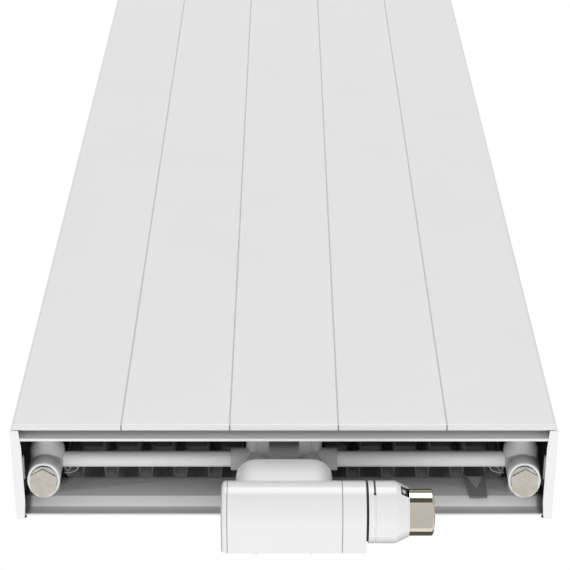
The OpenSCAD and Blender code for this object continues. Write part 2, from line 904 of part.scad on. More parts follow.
// Drawn with the lug's step at z = 0
module lug() {
    block([-lug_w / 2, back_y, 0], [lug_w / 2, back_y + lug_t, lug_h - tongue_l]);
    block([-lug_w / 2, back_y, 0], [lug_w / 2, tongue_y, lug_t]);
    block([-lug_w / 2, tongue_y - lug_t, -tongue_l], [lug_w / 2, tongue_y, lug_t]);
}

module at_fixings(z_list) {
    for (side = [-1, 1], z = z_list) translate([side * lug_x, 0, z]) children();
}

module hanging_lugs() {
    color(STEEL) in_frame() at_fixings(fix_places) translate([0, 0, hook_z]) lug();
}

// Drawn with the screw hole at z = 0
module wall_bracket() {
    half_w = bracket_w / 2;
    lip_top = hook_z - pad_t;
    arm_low = hook_z - tongue_l - loose_gap - bracket_t;
    difference() {
        union() {
            block([-half_w, wall_y - bracket_t, -bracket_h / 2], [half_w, wall_y, bracket_h / 2]);
            block([-half_w, lip_y - bracket_t, arm_low],
                [half_w, wall_y - bracket_t, arm_low + bracket_t]);
            block([-half_w, lip_y - bracket_t, arm_low], [half_w, lip_y, lip_top]);
            for (x = [-half_w, half_w - bracket_t])
                block([x, tongue_y + lip_gap, arm_low - arm_h],
                    [x + bracket_t, wall_y - bracket_t, arm_low]);
        }
        rod_y(screw_r, wall_y - bracket_t - over, wall_y + over);
    }
}

module wall_brackets_upper() {
    color(STEEL) in_frame() at_fixings([panel_h - fix_inset]) wall_bracket();
}

module wall_brackets_lower() {
    color(STEEL) in_frame() at_fixings([fix_inset]) wall_bracket();
}

// Plastic pads between the brackets' lips and the lugs
module bracket_pads() {
    half_w = bracket_w / 2;
    lip_top = hook_z - pad_t;
    color(PLASTIC) in_frame() at_fixings(fix_places)
        block([-half_w, lip_y - bracket_t, lip_top], [half_w, lip_y, lip_top + pad_t]);
}

// Valve, drawn about its own axis
module at_valve() {
    translate([0, axis_y, valve_z]) children();
}

module at_valve_pipe(x) {
    translate([x, axis_y, valve_z]) children();
}

gallery_half = gallery_l / 2;
gallery_bore_r = gallery_r * 0.68;
wall_x = gallery_half * 0.12;
seat_hole_r = water_r * 0.6;
pipe_gap = 0.1;
socket_pipe_r = pipe_r + pipe_gap;

module valve_body() {
    color(BRASS) in_frame() difference() {
        union() {
            at_valve() rod_x(gallery_r, -gallery_half, gallery_half);
            for (x = [supply_x, return_x]) at_valve_pipe(x) {
                rod_z(riser_r, 0, riser_l);
                rod_y(spigot_r, 0, spigot_l);
                rod_y(boss_r, -boss_l, 0);
            }
        }
        at_valve() {
            rod_x(gallery_bore_r, wall_x, gallery_half + over);
            rod_x(water_r, -pipe_x, -wall_x);
            rod_x(seat_hole_r, -wall_x - over, wall_x + over);
        }
        for (x = [supply_x, return_x]) at_valve_pipe(x) {
            rod_z(water_r, 0, riser_l + over);
            rod_y(water_r, 0, spigot_l + over);
            rod_y(socket_pipe_r, spigot_l - pipe_depth, spigot_l + over);
            rod_y(spindle_r + run_gap, -boss_l - over, 0);
        }
    }
}

// Tailpieces from the tees' sockets to the risers, with flat seals and union nuts
seal_h = 1.5;
riser_top_z = valve_z + riser_l;
tail_low = riser_top_z + seal_h;
flange_h = 2.5;
flange_step = 0.6;
flange_r = riser_r - flange_step;
union_low = riser_top_z - union_l / 3;

module at_tails() {
    for (x = [supply_x, return_x]) translate([x, axis_y, 0]) children();
}

module tailpieces() {
    color(NICKEL) in_frame() at_tails() {
        ring_z(tail_r, water_r, tail_low + flange_h, socket_end + socket_r);
        ring_z(flange_r, water_r, tail_low, tail_low + flange_h);
    }
}

module tail_seals() {
    color(RUBBER) in_frame() at_tails() ring_z(flange_r, water_r, riser_top_z, tail_low);
}

module union_nut(x) {
    high = union_low + union_l;
    color(NICKEL) in_frame() translate([x, axis_y, 0]) difference() {
        hex_z(union_af, union_low, high);
        rod_z(riser_r + seat_gap, union_low - over, tail_low + flange_h);
        rod_z(tail_r + seat_gap, union_low, high + over);
    }
}

module union_nut_supply() {
    union_nut(supply_x);
}

module union_nut_return() {
    union_nut(return_x);
}

// Insert: screwed into the right end of the body, with the stem and its spring inside
insert_seat_r = gallery_bore_r - seat_gap;
insert_in = gallery_half * 0.8;
insert_end = gallery_half + insert_l;
insert_flange = insert_l * 0.28;
insert_af = gallery_r * 1.72;
spring_bore_r = spring_r + loose_gap;
guide_l = insert_l * 0.3;
spring_x0 = insert_in + stem_lift * 2;
spring_x1 = insert_end - guide_l;
stem_bore_r = stem_r + run_gap;
disc_r = water_r - loose_gap;
disc_t = 2;
disc_x = wall_x + loose_gap;

module insert_body() {
    color(BRASS) in_frame() at_valve() difference() {
        union() {
            rod_x(insert_seat_r, insert_in, gallery_half);
            rotate([90, 0, 90]) hex_z(insert_af, gallery_half, gallery_half + insert_flange);
            rod_x(insert_r, gallery_half + insert_flange, insert_end);
        }
        rod_x(spring_bore_r, spring_x0 - wire_r, spring_x1);
        rod_x(stem_bore_r, insert_in - over, insert_end + over);
    }
}

collar_t = 1.6;
collar_x = spring_x1 - stem_lift - loose_gap - collar_t;
stem_tip = insert_end + stem_lift * 1.6;

module valve_stem() {
    color(STEEL) in_frame() at_valve() {
        rod_x(stem_r, disc_x + disc_t, stem_tip);
        rod_x(disc_r, disc_x, disc_x + disc_t);
        rod_x(spring_r, collar_x, collar_x + collar_t);
    }
}

// Spring wire as one tube that follows a helix
spring_rings = 8;
wire_sides = 6;
spring_clear = wire_r * 1.2;
spring_l = collar_x - spring_x0 - 2 * spring_clear;
coil_r = spring_r - wire_r;
spring_steps = spring_turns * spring_rings;

// Point at a step along the helix, at radius r and shifted along the axis
function helix_at(i, r, shift) =
    let (a = 360 * i / spring_rings)
    [spring_x0 + spring_clear + spring_l * i / spring_steps + shift, r * cos(a), r * sin(a)];

helix_points = [
    for (i = [0 : spring_steps], j = [0 : wire_sides - 1])
        let (b = 360 * j / wire_sides)
        helix_at(i, coil_r + wire_r * cos(b), wire_r * sin(b))
];
helix_sides = [
    for (i = [0 : spring_steps - 1], j = [0 : wire_sides - 1])
        let (k = (j + 1) % wire_sides, p = i * wire_sides, q = p + wire_sides)
        each [[p + j, q + k, q + j], [p + j, p + k, q + k]]
];
helix_caps = [
    for (j = [1 : wire_sides - 2]) each
        [[0, j + 1, j], [spring_steps * wire_sides, spring_steps * wire_sides + j,
            spring_steps * wire_sides + j + 1]]
];

// Least gap between the wire's turns, measured between points half a turn or more apart
helix_gaps = [
    for (i = [0 : spring_steps], k = [i + spring_rings / 2 : spring_steps])
        norm(helix_at(k, coil_r, 0) - helix_at(i, coil_r, 0)) - 2 * wire_r
];
echo(spring_least_gap = min(helix_gaps));

module valve_spring() {
    color(STEEL) in_frame() at_valve()
        polyhedron(points = helix_points, faces = concat(helix_sides, helix_caps));
}

// Shut-off spindles in the front bosses, turned with a key when the cover is off
spindle_in = gallery_r * 0.45;

module shutoff(x) {
    head = boss_l + spindle_r * 0.5;
    slot = spindle_r * 0.3;
    color(BRASS) in_frame() at_valve_pipe(x) difference() {
        rod_y(spindle_r, -head, -spindle_in);
        block([-slot / 2, -head - over, -spindle_r - over],
            [slot / 2, slot - head, spindle_r + over]);
    }
}

module shutoff_supply() {
    shutoff(supply_x);
}

module shutoff_return() {
    shutoff(return_x);
}

// Pipe nuts and olives at the back of the valve
olive_t = 4;
nut_y0 = spigot_l - nut_l * 0.35;
nut_y1 = nut_y0 + nut_l;
olive_y1 = spigot_l + olive_t;

module ring_y(r_out, r_in, y0, y1) {
    difference() {
        rod_y(r_out, y0, y1);
        rod_y(r_in, y0 - over, y1 + over);
    }
}

module pipe_nut(x) {
    color(NICKEL) in_frame() at_valve_pipe(x) difference() {
        rotate([-90, 0, 0]) hex_z(nut_af, nut_y0, nut_y1);
        rod_y(spigot_r + seat_gap, nut_y0 - over, olive_y1);
        rod_y(socket_pipe_r, nut_y0, nut_y1 + over);
    }
}

module pipe_nut_supply() {
    pipe_nut(supply_x);
}

module pipe_nut_return() {
    pipe_nut(return_x);
}

module pipe_olives() {
    color(BRASS) in_frame() for (x = [supply_x, return_x]) at_valve_pipe(x)
        ring_y(spigot_r - seat_gap, socket_pipe_r, spigot_l, olive_y1);
}

// Valve cover

// Outline in (y, z) about the valve's axis: round in front, square behind
module cover_outline(r, rear) {
    intersection() {
        circle(r = r);
        translate([-r, -r]) square([r, 2 * r]);
    }
    translate([0, -r]) square([rear, 2 * r]);
}

module cover_tube(x0, x1) {
    difference() {
        along_x(x0, x1) cover_outline(cover_r, cover_rear);
        along_x(x0 - over, x1 + over)
            cover_outline(cover_r - cover_wall, cover_rear + over);
    }
}

// Plan of the hood about the valve's axis: a slot shape, open towards the wall if asked
module hood_plan(grow, rear) {
    r = hood_d / 2 + grow;
    half_l = (hood_w - hood_d) / 2;
    for (x = [-half_l, half_l]) translate([x, 0]) circle(r = r);
    translate([-half_l, -r]) square([2 * half_l, 2 * r]);
    if (rear > 0) translate([-half_l - r, 0]) square([2 * half_l + 2 * r, rear]);
}

saddle_r = gallery_r + loose_gap;
saddle_x = gallery_half - 2 * cover_wall * 0.55;
saddle_t = cover_wall * 0.8;

// Ribs inside the shell that sit on the valve body
module saddle_rib(x) {
    difference() {
        along_x(x, x + saddle_t) cover_outline(cover_r - cover_wall / 2, cover_rear);
        along_x(x - over, x + saddle_t + over) {
            circle(r = saddle_r);
            translate([0, -saddle_r]) square([cover_rear + over, 2 * saddle_r]);
        }
    }
}

module cover_shell() {
    color(PLASTIC) in_frame() at_valve() difference() {
        union() {
            cover_tube(-shell_left, shell_right);
            saddle_rib(saddle_x - saddle_t);
            saddle_rib(-saddle_x);
        }
        linear_extrude(cover_r + over) hood_plan(loose_gap, cover_rear + over);
        for (x = [-shell_left, shell_right]) seam_groove(x);
    }
}

// Fine joint line round the cover
module seam_groove(x) {
    along_x(x - seam_line / 2, x + seam_line / 2) difference() {
        cover_outline(cover_r + over, cover_rear + over);
        cover_outline(cover_r - seam_line, cover_rear + 2 * over);
    }
}

// Profile of an end cap in (radius, distance from the joint), with a round outer edge
module cap_quarter(r, l, edge) {
    square([r - edge, l]);
    square([r, l - edge]);
    translate([r - edge, l - edge]) intersection() {
        circle(r = edge);
        square(edge);
    }
}

// Turned in front of the axis and pushed straight behind it
module cap_solid(r, l, edge, rear) {
    intersection() {
        rotate([0, 90, 0]) rotate_extrude() cap_quarter(r, l, edge);
        block([0, -r - over, -r - over], [l, 0, r + over]);
    }
    rotate([-90, 0, 0]) linear_extrude(rear) rotate(-90)
        for (side = [0, 1]) mirror([side, 0]) cap_quarter(r, l, edge);
}

module cover_end_cap() {
    inner_r = cover_r - cover_wall;
    inner_edge = end_cap_r - cover_wall * 0.9;
    color(PLASTIC) in_frame() at_valve() translate([-shell_left, 0, 0])
        mirror([1, 0, 0]) difference() {
            cap_solid(cover_r, end_cap_l, end_cap_r, cover_rear);
            translate([-over, 0, 0]) cap_solid(inner_r, end_cap_l - cover_wall + over,
                inner_edge, cover_rear + over);
        }
}

neck_gap = 1.2;
head_nut_r = gallery_r * 1.16;

module cover_adapter() {
    x0 = shell_right;
    x1 = shell_right + adapter_l;
    slot_r = head_nut_r + neck_gap;
    color(PLASTIC) in_frame() at_valve() {
        cover_tube(x0, x1);
        difference() {
            along_x(x1 - cover_wall, x1) cover_outline(cover_r - cover_wall / 2, cover_rear);
            along_x(x1 - cover_wall - over, x1 + over) {
                circle(r = slot_r);
                translate([0, -slot_r]) square([cover_rear + over, 2 * slot_r]);
            }
        }
    }
}

// Hood over the union nuts: its rim is round, its foot follows the cover
hood_floor_t = 2;
hood_floor_z = union_low + union_l + seat_gap;

// Slot shape from low to high, with a round upper rim
module hood_solid(r, low, high, rim) {
    half_l = (hood_w - hood_d) / 2;
    for (x = [-half_l, half_l]) translate([x, 0, low]) rotate_extrude()
        cap_quarter(r, high - low, rim);
    translate([-half_l, 0, low]) rotate([90, 0, 90]) linear_extrude(2 * half_l)
        for (side = [0, 1]) mirror([side, 0]) cap_quarter(r, high - low, rim);
}

module cover_hood() {
    r = hood_d / 2;
    low = valve_z;
    open_r = r - hood_rim_r;
    half_l = (hood_w - hood_d) / 2;
    color(PLASTIC) in_frame() difference() {
        union() {
            translate([0, axis_y, 0]) difference() {
                hood_solid(r, low, hood_top, hood_rim_r);
                hood_solid(r - hood_wall, low - over, hood_top - hood_wall,
                    hood_rim_r - hood_wall / 2);
                translate([0, 0, hood_top - 2 * hood_wall]) linear_extrude(3 * hood_wall) {
                    for (x = [-half_l, half_l]) translate([x, 0]) circle(r = open_r);
                    translate([-half_l, -open_r]) square([2 * half_l, 2 * open_r]);
                }
            }
            translate([0, axis_y, hood_floor_z]) linear_extrude(hood_floor_t)
                hood_plan(-hood_wall / 2, 0);
        }
        at_valve() along_x(-hood_w, hood_w)
            cover_outline(cover_r - cover_wall / 2, hood_d);
        at_tails() {
            rod_z(tail_r + seat_gap, hood_floor_z - over, hood_floor_z + 2 * hood_floor_t);
            rod_z(union_af / sqrt(3) + loose_gap, union_low, hood_floor_z);
        }
    }
}

// Thermostatic head, along +X from the cover
cover_x1 = shell_right + adapter_l;
grip_x0 = cover_x1 + head_gap;
cone_x0 = grip_x0 + grip_l;
cone_x1 = cone_x0 + cone_l;
head_nut_flutes = 12;
head_nut_x0 = gallery_half + insert_flange + seat_gap;
head_nut_x1 = insert_end + insert_l * 0.4;
base_wall = 1.8;
base_bore_r = base_r - base_wall;
neck_wall = 0.6;
neck_r = insert_r + neck_wall;
disc_x0 = cover_x1 + head_gap * 0.2;
disc_x1 = grip_x0 - head_gap * 0.2;
disc_step = 1.6;
disc_out_r = cover_r - disc_step;
base_set_back = 1.4;
base_x1 = cone_x1 - base_set_back;
slope = (grip_r - cone_r) / cone_l;

module head_nut() {
    color(NICKEL) in_frame() at_valve() difference() {
        rod_x(head_nut_r, head_nut_x0, head_nut_x1);
        rod_x(insert_r + seat_gap, head_nut_x0 - over, insert_end);
        rod_x(rod_r * 2, insert_end - over, head_nut_x1 + over);
        for (i = [1 : head_nut_flutes]) rotate([360 * i / head_nut_flutes, 0, 0])
            translate([0, 0, head_nut_r + neck_gap * 0.4])
                rod_x(neck_gap, head_nut_x0 - over, head_nut_x1 + over);
    }
}

capsule_x0 = disc_x1 + head_gap * 4;
capsule_x1 = capsule_x0 + capsule_l;
capsule_rings = 3;
capsule_ring_t = 2.2;
guide_t = 2.4;

module head_base() {
    color(BLACK) in_frame() at_valve() difference() {
        union() {
            rod_x(neck_r, head_nut_x1, disc_x0 + seat_gap);
            rod_x(disc_out_r, disc_x0, disc_x1);
            rod_x(base_r, disc_x1 - seat_gap, base_x1);
        }
        rod_x(base_bore_r, disc_x1 + guide_t, base_x1 - guide_t);
        rod_x(rod_r + loose_gap, head_nut_x1 - over, base_x1);
    }
}

drum_x0 = cone_x0 + seat_gap;
drum_x1 = base_x1 - seat_gap;
drum_gap = 0.5;

// Drum radius at a place along the cone
function drum_r(x) = grip_r - grip_wall - drum_gap - slope * (x - cone_x0);

module scale_drum() {
    color(BLACK) in_frame() at_valve() difference() {
        cone_x(drum_r(drum_x0), drum_r(drum_x1), drum_x0, drum_x1);
        rod_x(base_r + seat_gap, drum_x0 - over, drum_x1 + over);
    }
}

// Marks on the drum: a flake at rest, then the figures one to five, drawn in strokes.
// A stroke runs from one point of a grid of two by four shares to another.
mark_h = window_h * 0.42;
mark_w = window_w * 0.42;
stroke = window_w * 0.09;
mark_out = drum_gap * 0.5;
one_shares = [[[1, 0], [1, 4]], [[0, 3], [1, 4]]];
two_shares = [[[0, 4], [2, 4]], [[2, 4], [2, 2]], [[2, 2], [0, 2]], [[0, 2], [0, 0]],
    [[0, 0], [2, 0]]];
three_shares = [[[0, 4], [2, 4]], [[2, 4], [2, 0]], [[0, 2], [2, 2]], [[0, 0], [2, 0]]];
four_shares = [[[0, 4], [0, 2]], [[0, 2], [2, 2]], [[2, 4], [2, 0]]];
five_shares = [[[2, 4], [0, 4]], [[0, 4], [0, 2]], [[0, 2], [2, 2]], [[2, 2], [2, 0]],
    [[2, 0], [0, 0]]];
flake_shares = [[[1, 0], [1, 4]], [[0, 1], [2, 3]], [[0, 3], [2, 1]]];
marks_shares = [flake_shares, one_shares, two_shares, three_shares, four_shares, five_shares];

// One stroke on the flat, u across the mark and v along it
module stroke_bar(a, b) {
    pa = [(a.x - 1) * mark_w / 2, (a.y - 2) * mark_h / 4];
    pb = [(b.x - 1) * mark_w / 2, (b.y - 2) * mark_h / 4];
    d = pb - pa;
    translate(pa) rotate(atan2(d.y, d.x)) translate([-stroke / 2, -stroke / 2])
        square([norm(d) + stroke, stroke]);
}

// Thin skin of the drum that the marks are cut from
module mark_skin() {
    difference() {
        cone_x(drum_r(drum_x0) + mark_out, drum_r(drum_x1) + mark_out, drum_x0, drum_x1);
        cone_x(drum_r(drum_x0 - over), drum_r(drum_x1 + over), drum_x0 - over,
            drum_x1 + over);
    }
}

module scale_numerals() {
    mid_x = cone_x1 - window_w / 2 - grip_wall / 2;
    color(PLASTIC) in_frame() at_valve() for (m = [0 : len(marks_shares) - 1])
        intersection() {
            mark_skin();
            rotate([m * mark_step, 0, 0]) translate([mid_x, 0, 0]) rotate([90, 0, 0])
                linear_extrude(grip_r)
                    for (s = marks_shares[m]) stroke_bar(s[0], s[1]);
        }
}

// Grip: a white sleeve with a cone and a window, turning on the base
rib_r = base_r + loose_gap;
rib_t = 1.6;
rib_x = grip_x0 + grip_l * 0.2;
line_x = grip_x0 + grip_l * 0.24;
line_w = 0.7;
line_d = 0.5;

module grip_sleeve() {
    color(PLASTIC) in_frame() at_valve() difference() {
        union() {
            rod_x(grip_r, grip_x0, cone_x0);
            cone_x(grip_r, cone_r, cone_x0, cone_x1);
        }
        difference() {
            union() {
                rod_x(grip_r - grip_wall, grip_x0 - over, cone_x0);
                cone_x(grip_r - grip_wall, cone_r - grip_wall - slope * over, cone_x0,
                    cone_x1 + over);
            }
            ring_x(grip_r, rib_r, rib_x, rib_x + rib_t);
        }
        block([cone_x1 - window_w, -grip_r - over, -window_h / 2],
            [cone_x1 + over, -base_r, window_h / 2]);
        ring_x(grip_r + over, grip_r - line_d, line_x, line_x + line_w);
    }
}

// Dark limiter band in the grip's line, a part turn that starts below the front
band_from = -22;
band_angle = 110;

module limiter_band() {
    r0 = grip_r - line_d + seat_gap;
    r1 = grip_r - line_d * 0.3;
    color(BLACK) in_frame() at_valve() translate([line_x, 0, 0]) rotate([band_from + 90, 0, 0])
        about_x(band_angle) translate([r0, seat_gap]) square([r1 - r0, line_w - 2 * seat_gap]);
}

// Metal end cap, turned from one profile in (radius, distance from the cone)
module head_end_cap() {
    edge = cap_dome * 0.8;
    wall = grip_wall * 0.9;
    big = (cap_r * cap_r + cap_dome * cap_dome) / (2 * cap_dome);
    color(NICKEL) in_frame() at_valve() translate([cone_x1, 0, 0]) rotate([0, 90, 0])
        rotate_extrude() difference() {
            union() {
                cap_quarter(cap_r, cap_l, edge);
                translate([0, cap_l - edge]) intersection() {
                    translate([0, cap_dome + edge - big]) circle(r = big, $fn = 360);
                    square([cap_r - edge, cap_dome + 2 * edge]);
                }
            }
            translate([0, -over]) square([cap_r - wall, cap_l - edge - wall + over]);
        }
}

// Sensor capsule and the rod that passes its travel to the stem
module sensor_capsule() {
    color(STEEL) in_frame() at_valve() {
        rod_x(capsule_r, capsule_x0, capsule_x1 - stem_lift);
        for (i = [0 : capsule_rings - 1]) translate([capsule_x0 + i * capsule_l / 4, 0, 0])
            rod_x(base_bore_r - loose_gap, 0, capsule_ring_t);
    }
}

module push_rod() {
    color(STEEL) in_frame() at_valve() rod_x(rod_r, stem_tip, capsule_x0);
}

front_panel();
bonding_strips();
front_heater_outer_sheet();
front_heater_inner_sheet();
rear_heater_inner_sheet();
rear_heater_outer_sheet();
front_convector();
rear_convector();
tee_bottom_left();
tee_bottom_right();
tee_top_left();
tee_top_right();
plug_bottom_left();
plug_bottom_right();
plug_top_left();
plug_seals();
vent_body();
vent_screw();
vent_outlet_ring();
centre_tee_supply();
centre_tee_return();
centre_spacer_bar();
feed_tube_supply();
feed_tube_return();
catch_bracket();
side_panel_left();
side_panel_right();
side_clips();
top_grille();
hanging_lugs();
wall_brackets_upper();
wall_brackets_lower();
bracket_pads();
valve_body();
tailpieces();
tail_seals();
union_nut_supply();
union_nut_return();
insert_body();
valve_stem();
valve_spring();
shutoff_supply();
shutoff_return();
pipe_nut_supply();
pipe_nut_return();
pipe_olives();
cover_shell();
cover_end_cap();
cover_adapter();
cover_hood();
head_nut();
head_base();
scale_drum();
scale_numerals();
grip_sleeve();
limiter_band();
head_end_cap();
sensor_capsule();
push_rod();
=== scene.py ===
# %% [markdown]
# # A vertical radiator with its valve and thermostatic head
#
# The radiator is a steel casing around two pressed heating panels, with a twin pipe
# valve under a white plastic cover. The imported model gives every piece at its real
# size and place. This notebook dresses those pieces: it rounds their edges, gives each
# finish its own material and adds the small things that a workshop drawing leaves out.

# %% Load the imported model
import json
import math

import bmesh
import bpy
from mathutils import Matrix, Vector


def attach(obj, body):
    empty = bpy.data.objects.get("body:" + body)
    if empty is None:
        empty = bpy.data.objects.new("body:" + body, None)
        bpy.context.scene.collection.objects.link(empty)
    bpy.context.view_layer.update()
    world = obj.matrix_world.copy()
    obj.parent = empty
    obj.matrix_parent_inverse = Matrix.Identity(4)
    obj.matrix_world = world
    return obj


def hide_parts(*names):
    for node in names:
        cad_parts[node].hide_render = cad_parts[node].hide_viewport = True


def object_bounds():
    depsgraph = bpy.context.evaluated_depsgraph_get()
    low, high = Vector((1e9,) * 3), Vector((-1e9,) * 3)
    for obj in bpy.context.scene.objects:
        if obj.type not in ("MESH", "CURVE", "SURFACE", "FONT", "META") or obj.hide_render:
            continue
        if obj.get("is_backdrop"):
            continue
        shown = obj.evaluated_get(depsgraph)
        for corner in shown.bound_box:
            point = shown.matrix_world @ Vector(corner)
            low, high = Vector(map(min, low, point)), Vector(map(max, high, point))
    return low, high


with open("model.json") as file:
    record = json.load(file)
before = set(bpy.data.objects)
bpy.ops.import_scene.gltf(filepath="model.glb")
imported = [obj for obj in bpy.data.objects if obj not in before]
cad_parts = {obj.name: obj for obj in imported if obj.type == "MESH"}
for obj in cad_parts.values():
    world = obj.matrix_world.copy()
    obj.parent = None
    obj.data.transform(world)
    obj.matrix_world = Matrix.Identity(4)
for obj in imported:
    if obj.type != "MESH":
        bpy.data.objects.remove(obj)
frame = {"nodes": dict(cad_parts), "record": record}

cad_box = [list(corner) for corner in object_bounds()]

# %% Main places
HALF_HEIGHT = 0.9
LOWER_EDGE = -0.9
FRONT_FACE = -0.1298
VALVE_Y, VALVE_Z = -0.0721, -0.9557
VALVE = Vector((0.0, VALVE_Y, VALVE_Z))
print("front face at", FRONT_FACE, "lower edge at", LOWER_EDGE, "valve at", VALVE_Z)

# %% [markdown]
# ## Camera
#
# The photograph looks up at the radiator's lower end from in front of it. The lens and
# the place were worked out from the edges of the five front strips, which meet far above
# the picture. A camera could be aimed by rotation angles, but a look-at direction and an
# up direction say plainly what the photographer did, so the three axes are made from them.

# %% Camera
LENS_MM = 114.74
SENSOR_MM = 36.0
EYE = Vector((0.0009, -1.0203, -2.3187))
LOOK = Vector((0.0, 0.46497, 0.88533))
UP = Vector((0.0, -0.88533, 0.46497))

camera_data = bpy.data.cameras.new("photo_camera")
camera_data.lens = LENS_MM
camera_data.sensor_width = SENSOR_MM
camera_data.clip_start = 0.05
camera_data.clip_end = 60.0
camera = bpy.data.objects.new("photo_camera", camera_data)
axes = Matrix((LOOK.cross(UP), UP, -LOOK)).transposed()
camera.matrix_world = Matrix.Translation(EYE) @ axes.to_4x4()
bpy.context.scene.collection.objects.link(camera)
bpy.context.scene.camera = camera
bpy.context.scene.view_settings.view_transform = "Standard"
print("camera looks up at", round(math.degrees(math.asin(LOOK.z)), 2), "degrees")

# %% [markdown]
# ## Shader arithmetic
#
# Materials are node graphs, and a graph of Math nodes is hard to read as code. A small
# class wraps one output socket and overloads the operators, so `1 - mask * 0.3` adds the
# two Math nodes by itself. Colours never pass through a Math node, which would turn them
# grey: they go through Mix nodes.

# %% Socket arithmetic
class Wire:
    """One output socket, with arithmetic that adds Math nodes."""

    def __init__(self, graph, socket):
        self.graph = graph
        self.socket = socket

    def _do(self, operation, *values):
        sockets = dict(enumerate(values))
        return self.graph.add("ShaderNodeMath", {"operation": operation}, sockets)

    def __add__(self, other):
        return self._do("ADD", self, other)

    def __sub__(self, other):
        return self._do("SUBTRACT", self, other)

    def __mul__(self, other):
        return self._do("MULTIPLY", self, other)

    def __radd__(self, other):
        return self._do("ADD", other, self)

    def __rsub__(self, other):
        return self._do("SUBTRACT", other, self)

    def __rmul__(self, other):
        return self._do("MULTIPLY", other, self)

    def __gt__(self, other):
        return self._do("GREATER_THAN", self, other)

    def __lt__(self, other):
        return self._do("LESS_THAN", self, other)

    def clamp(self, low=0.0, high=1.0):
        return self._do("MINIMUM", self._do("MAXIMUM", self, low), high)

    def ramp(self, low, high):
        """0 below low, 1 above high, smooth between."""
        values = {"Value": self, "From Min": low, "From Max": high}
        settings = {"interpolation_type": "SMOOTHSTEP"}
        return self.graph.add("ShaderNodeMapRange", settings, values, "Result")


class Graph:
    """A node tree that is filled by calls."""

    def __init__(self, tree):
        self.tree = tree
        tree.nodes.clear()

    def add(self, kind, settings, sockets, out=0):
        """Adds a node: its settings first, then its input values or wires."""
        node = self.tree.nodes.new(kind)
        for name, value in settings.items():
            setattr(node, name, value)
        for name, value in sockets.items():
            if isinstance(value, Wire):
                self.tree.links.new(value.socket, node.inputs[name])
            else:
                node.inputs[name].default_value = value
        return Wire(self, node.outputs[out]) if len(node.outputs) else None

    def place(self):
        """The point on the surface, in metres in the radiator's own frame."""
        return self.add("ShaderNodeTexCoord", {}, {}, "Object")

    def noise(self, scale, detail, vector=None):
        """Cloudy noise between 0 and 1."""
        sockets = {"Scale": scale, "Detail": detail, "Vector": vector or self.place()}
        return self.add("ShaderNodeTexNoise", {}, sockets, "Fac")

    def stretch(self, x, y, z):
        """The point with each axis scaled, for grain that runs one way."""
        sockets = {"Vector": self.place(), "Scale": (x, y, z)}
        return self.add("ShaderNodeMapping", {"vector_type": "POINT"}, sockets)

    def split(self, vector):
        """The three parts of a vector."""
        node = self.tree.nodes.new("ShaderNodeSeparateXYZ")
        self.tree.links.new(vector.socket, node.inputs[0])
        return [Wire(self, socket) for socket in node.outputs]

    def size_of(self, value):
        """The value without its sign."""
        return self.add("ShaderNodeMath", {"operation": "ABSOLUTE"}, {0: value})

    def ping_pong(self, value, half):
        """Distance to the nearest multiple of twice half."""
        return self.add("ShaderNodeMath", {"operation": "PINGPONG"}, {0: value, 1: half})

    def mix(self, factor, low, high):
        """A colour between low and high. The node's colour inputs are its 6 and 7."""
        settings = {"data_type": "RGBA", "blend_type": "MIX"}
        return self.add("ShaderNodeMix", settings, {"Factor": factor, 6: low, 7: high}, 2)


print("socket arithmetic ready")

# %% [markdown]
# ## Floor, backdrop and light
#
# The photograph is a studio picture on plain white: soft light from all round, most of it
# from below, and one long soft box above the front that shows as a white band on the cover
# and on the metal cap. The white behind the object comes from the world's colour as the
# camera sees it, never from more light. The floor lies below the camera, because the
# radiator hangs on a wall and the photographer looks up at it. Polished metal mirrors a
# grey room with dark bands across it, as it does in a studio with black screens.

# %% World
WORLD_LEVEL = 0.66
BACKDROP = (1.0, 1.0, 1.0, 1.0)
MIRRORED = (0.75, 0.75, 0.75, 1.0)
MIRRORED_LOW = (1.12, 1.12, 1.12, 1.0)
MIRRORED_DARK = (0.12, 0.118, 0.10, 1.0)
# The dark bands, as angles round the valve: 0 is straight ahead of the front, 90 is up.
FRONT_BAND = (-9.5, 15.0)
UPPER_BAND = (47.0, 68.0)
BACK_TOP = 100.0
LOWER_BACK = (-166.0, -100.0)

world = bpy.data.worlds.new("studio")
bpy.context.scene.world = world
world.use_nodes = True
sky = Graph(world.node_tree)
sight = sky.add("ShaderNodeLightPath", {}, {}, "Is Camera Ray")
gloss = sky.add("ShaderNodeLightPath", {}, {}, "Is Glossy Ray")
glass = sky.add("ShaderNodeLightPath", {}, {}, "Is Transmission Ray")
heading = sky.add("ShaderNodeTexCoord", {}, {}, "Generated")
east, north, height = sky.split(heading)
turn = sky.add("ShaderNodeMath", {"operation": "ARCTAN2"}, {0: height, 1: -1.0 * north})
degrees = turn * (180.0 / math.pi)
front_band = (degrees > FRONT_BAND[0]) * (degrees < FRONT_BAND[1])
upper_band = (degrees > UPPER_BAND[0]) * (degrees < UPPER_BAND[1])
back_band = (degrees > BACK_TOP) + (degrees < LOWER_BACK[0])
bands = (front_band + upper_band + back_band).clamp()
# The bands fade out towards the sides, and the room is brighter low down at the back.
near_middle = 1.0 - (east * east).ramp(0.12, 0.5)
low_down = 1.0 - degrees.ramp(*LOWER_BACK)
plain_room = sky.mix(low_down, MIRRORED, MIRRORED_LOW)
mirrored_room = sky.mix(bands * near_middle, plain_room, MIRRORED_DARK)
room = sky.mix(gloss, (WORLD_LEVEL, WORLD_LEVEL, WORLD_LEVEL, 1.0), mirrored_room)
colour = sky.mix((sight + glass).clamp(), room, BACKDROP)
backdrop = sky.add("ShaderNodeBackground", {}, {"Color": colour, "Strength": 1.0})
sky.add("ShaderNodeOutputWorld", {}, {"Surface": backdrop})
print("world level", WORLD_LEVEL)

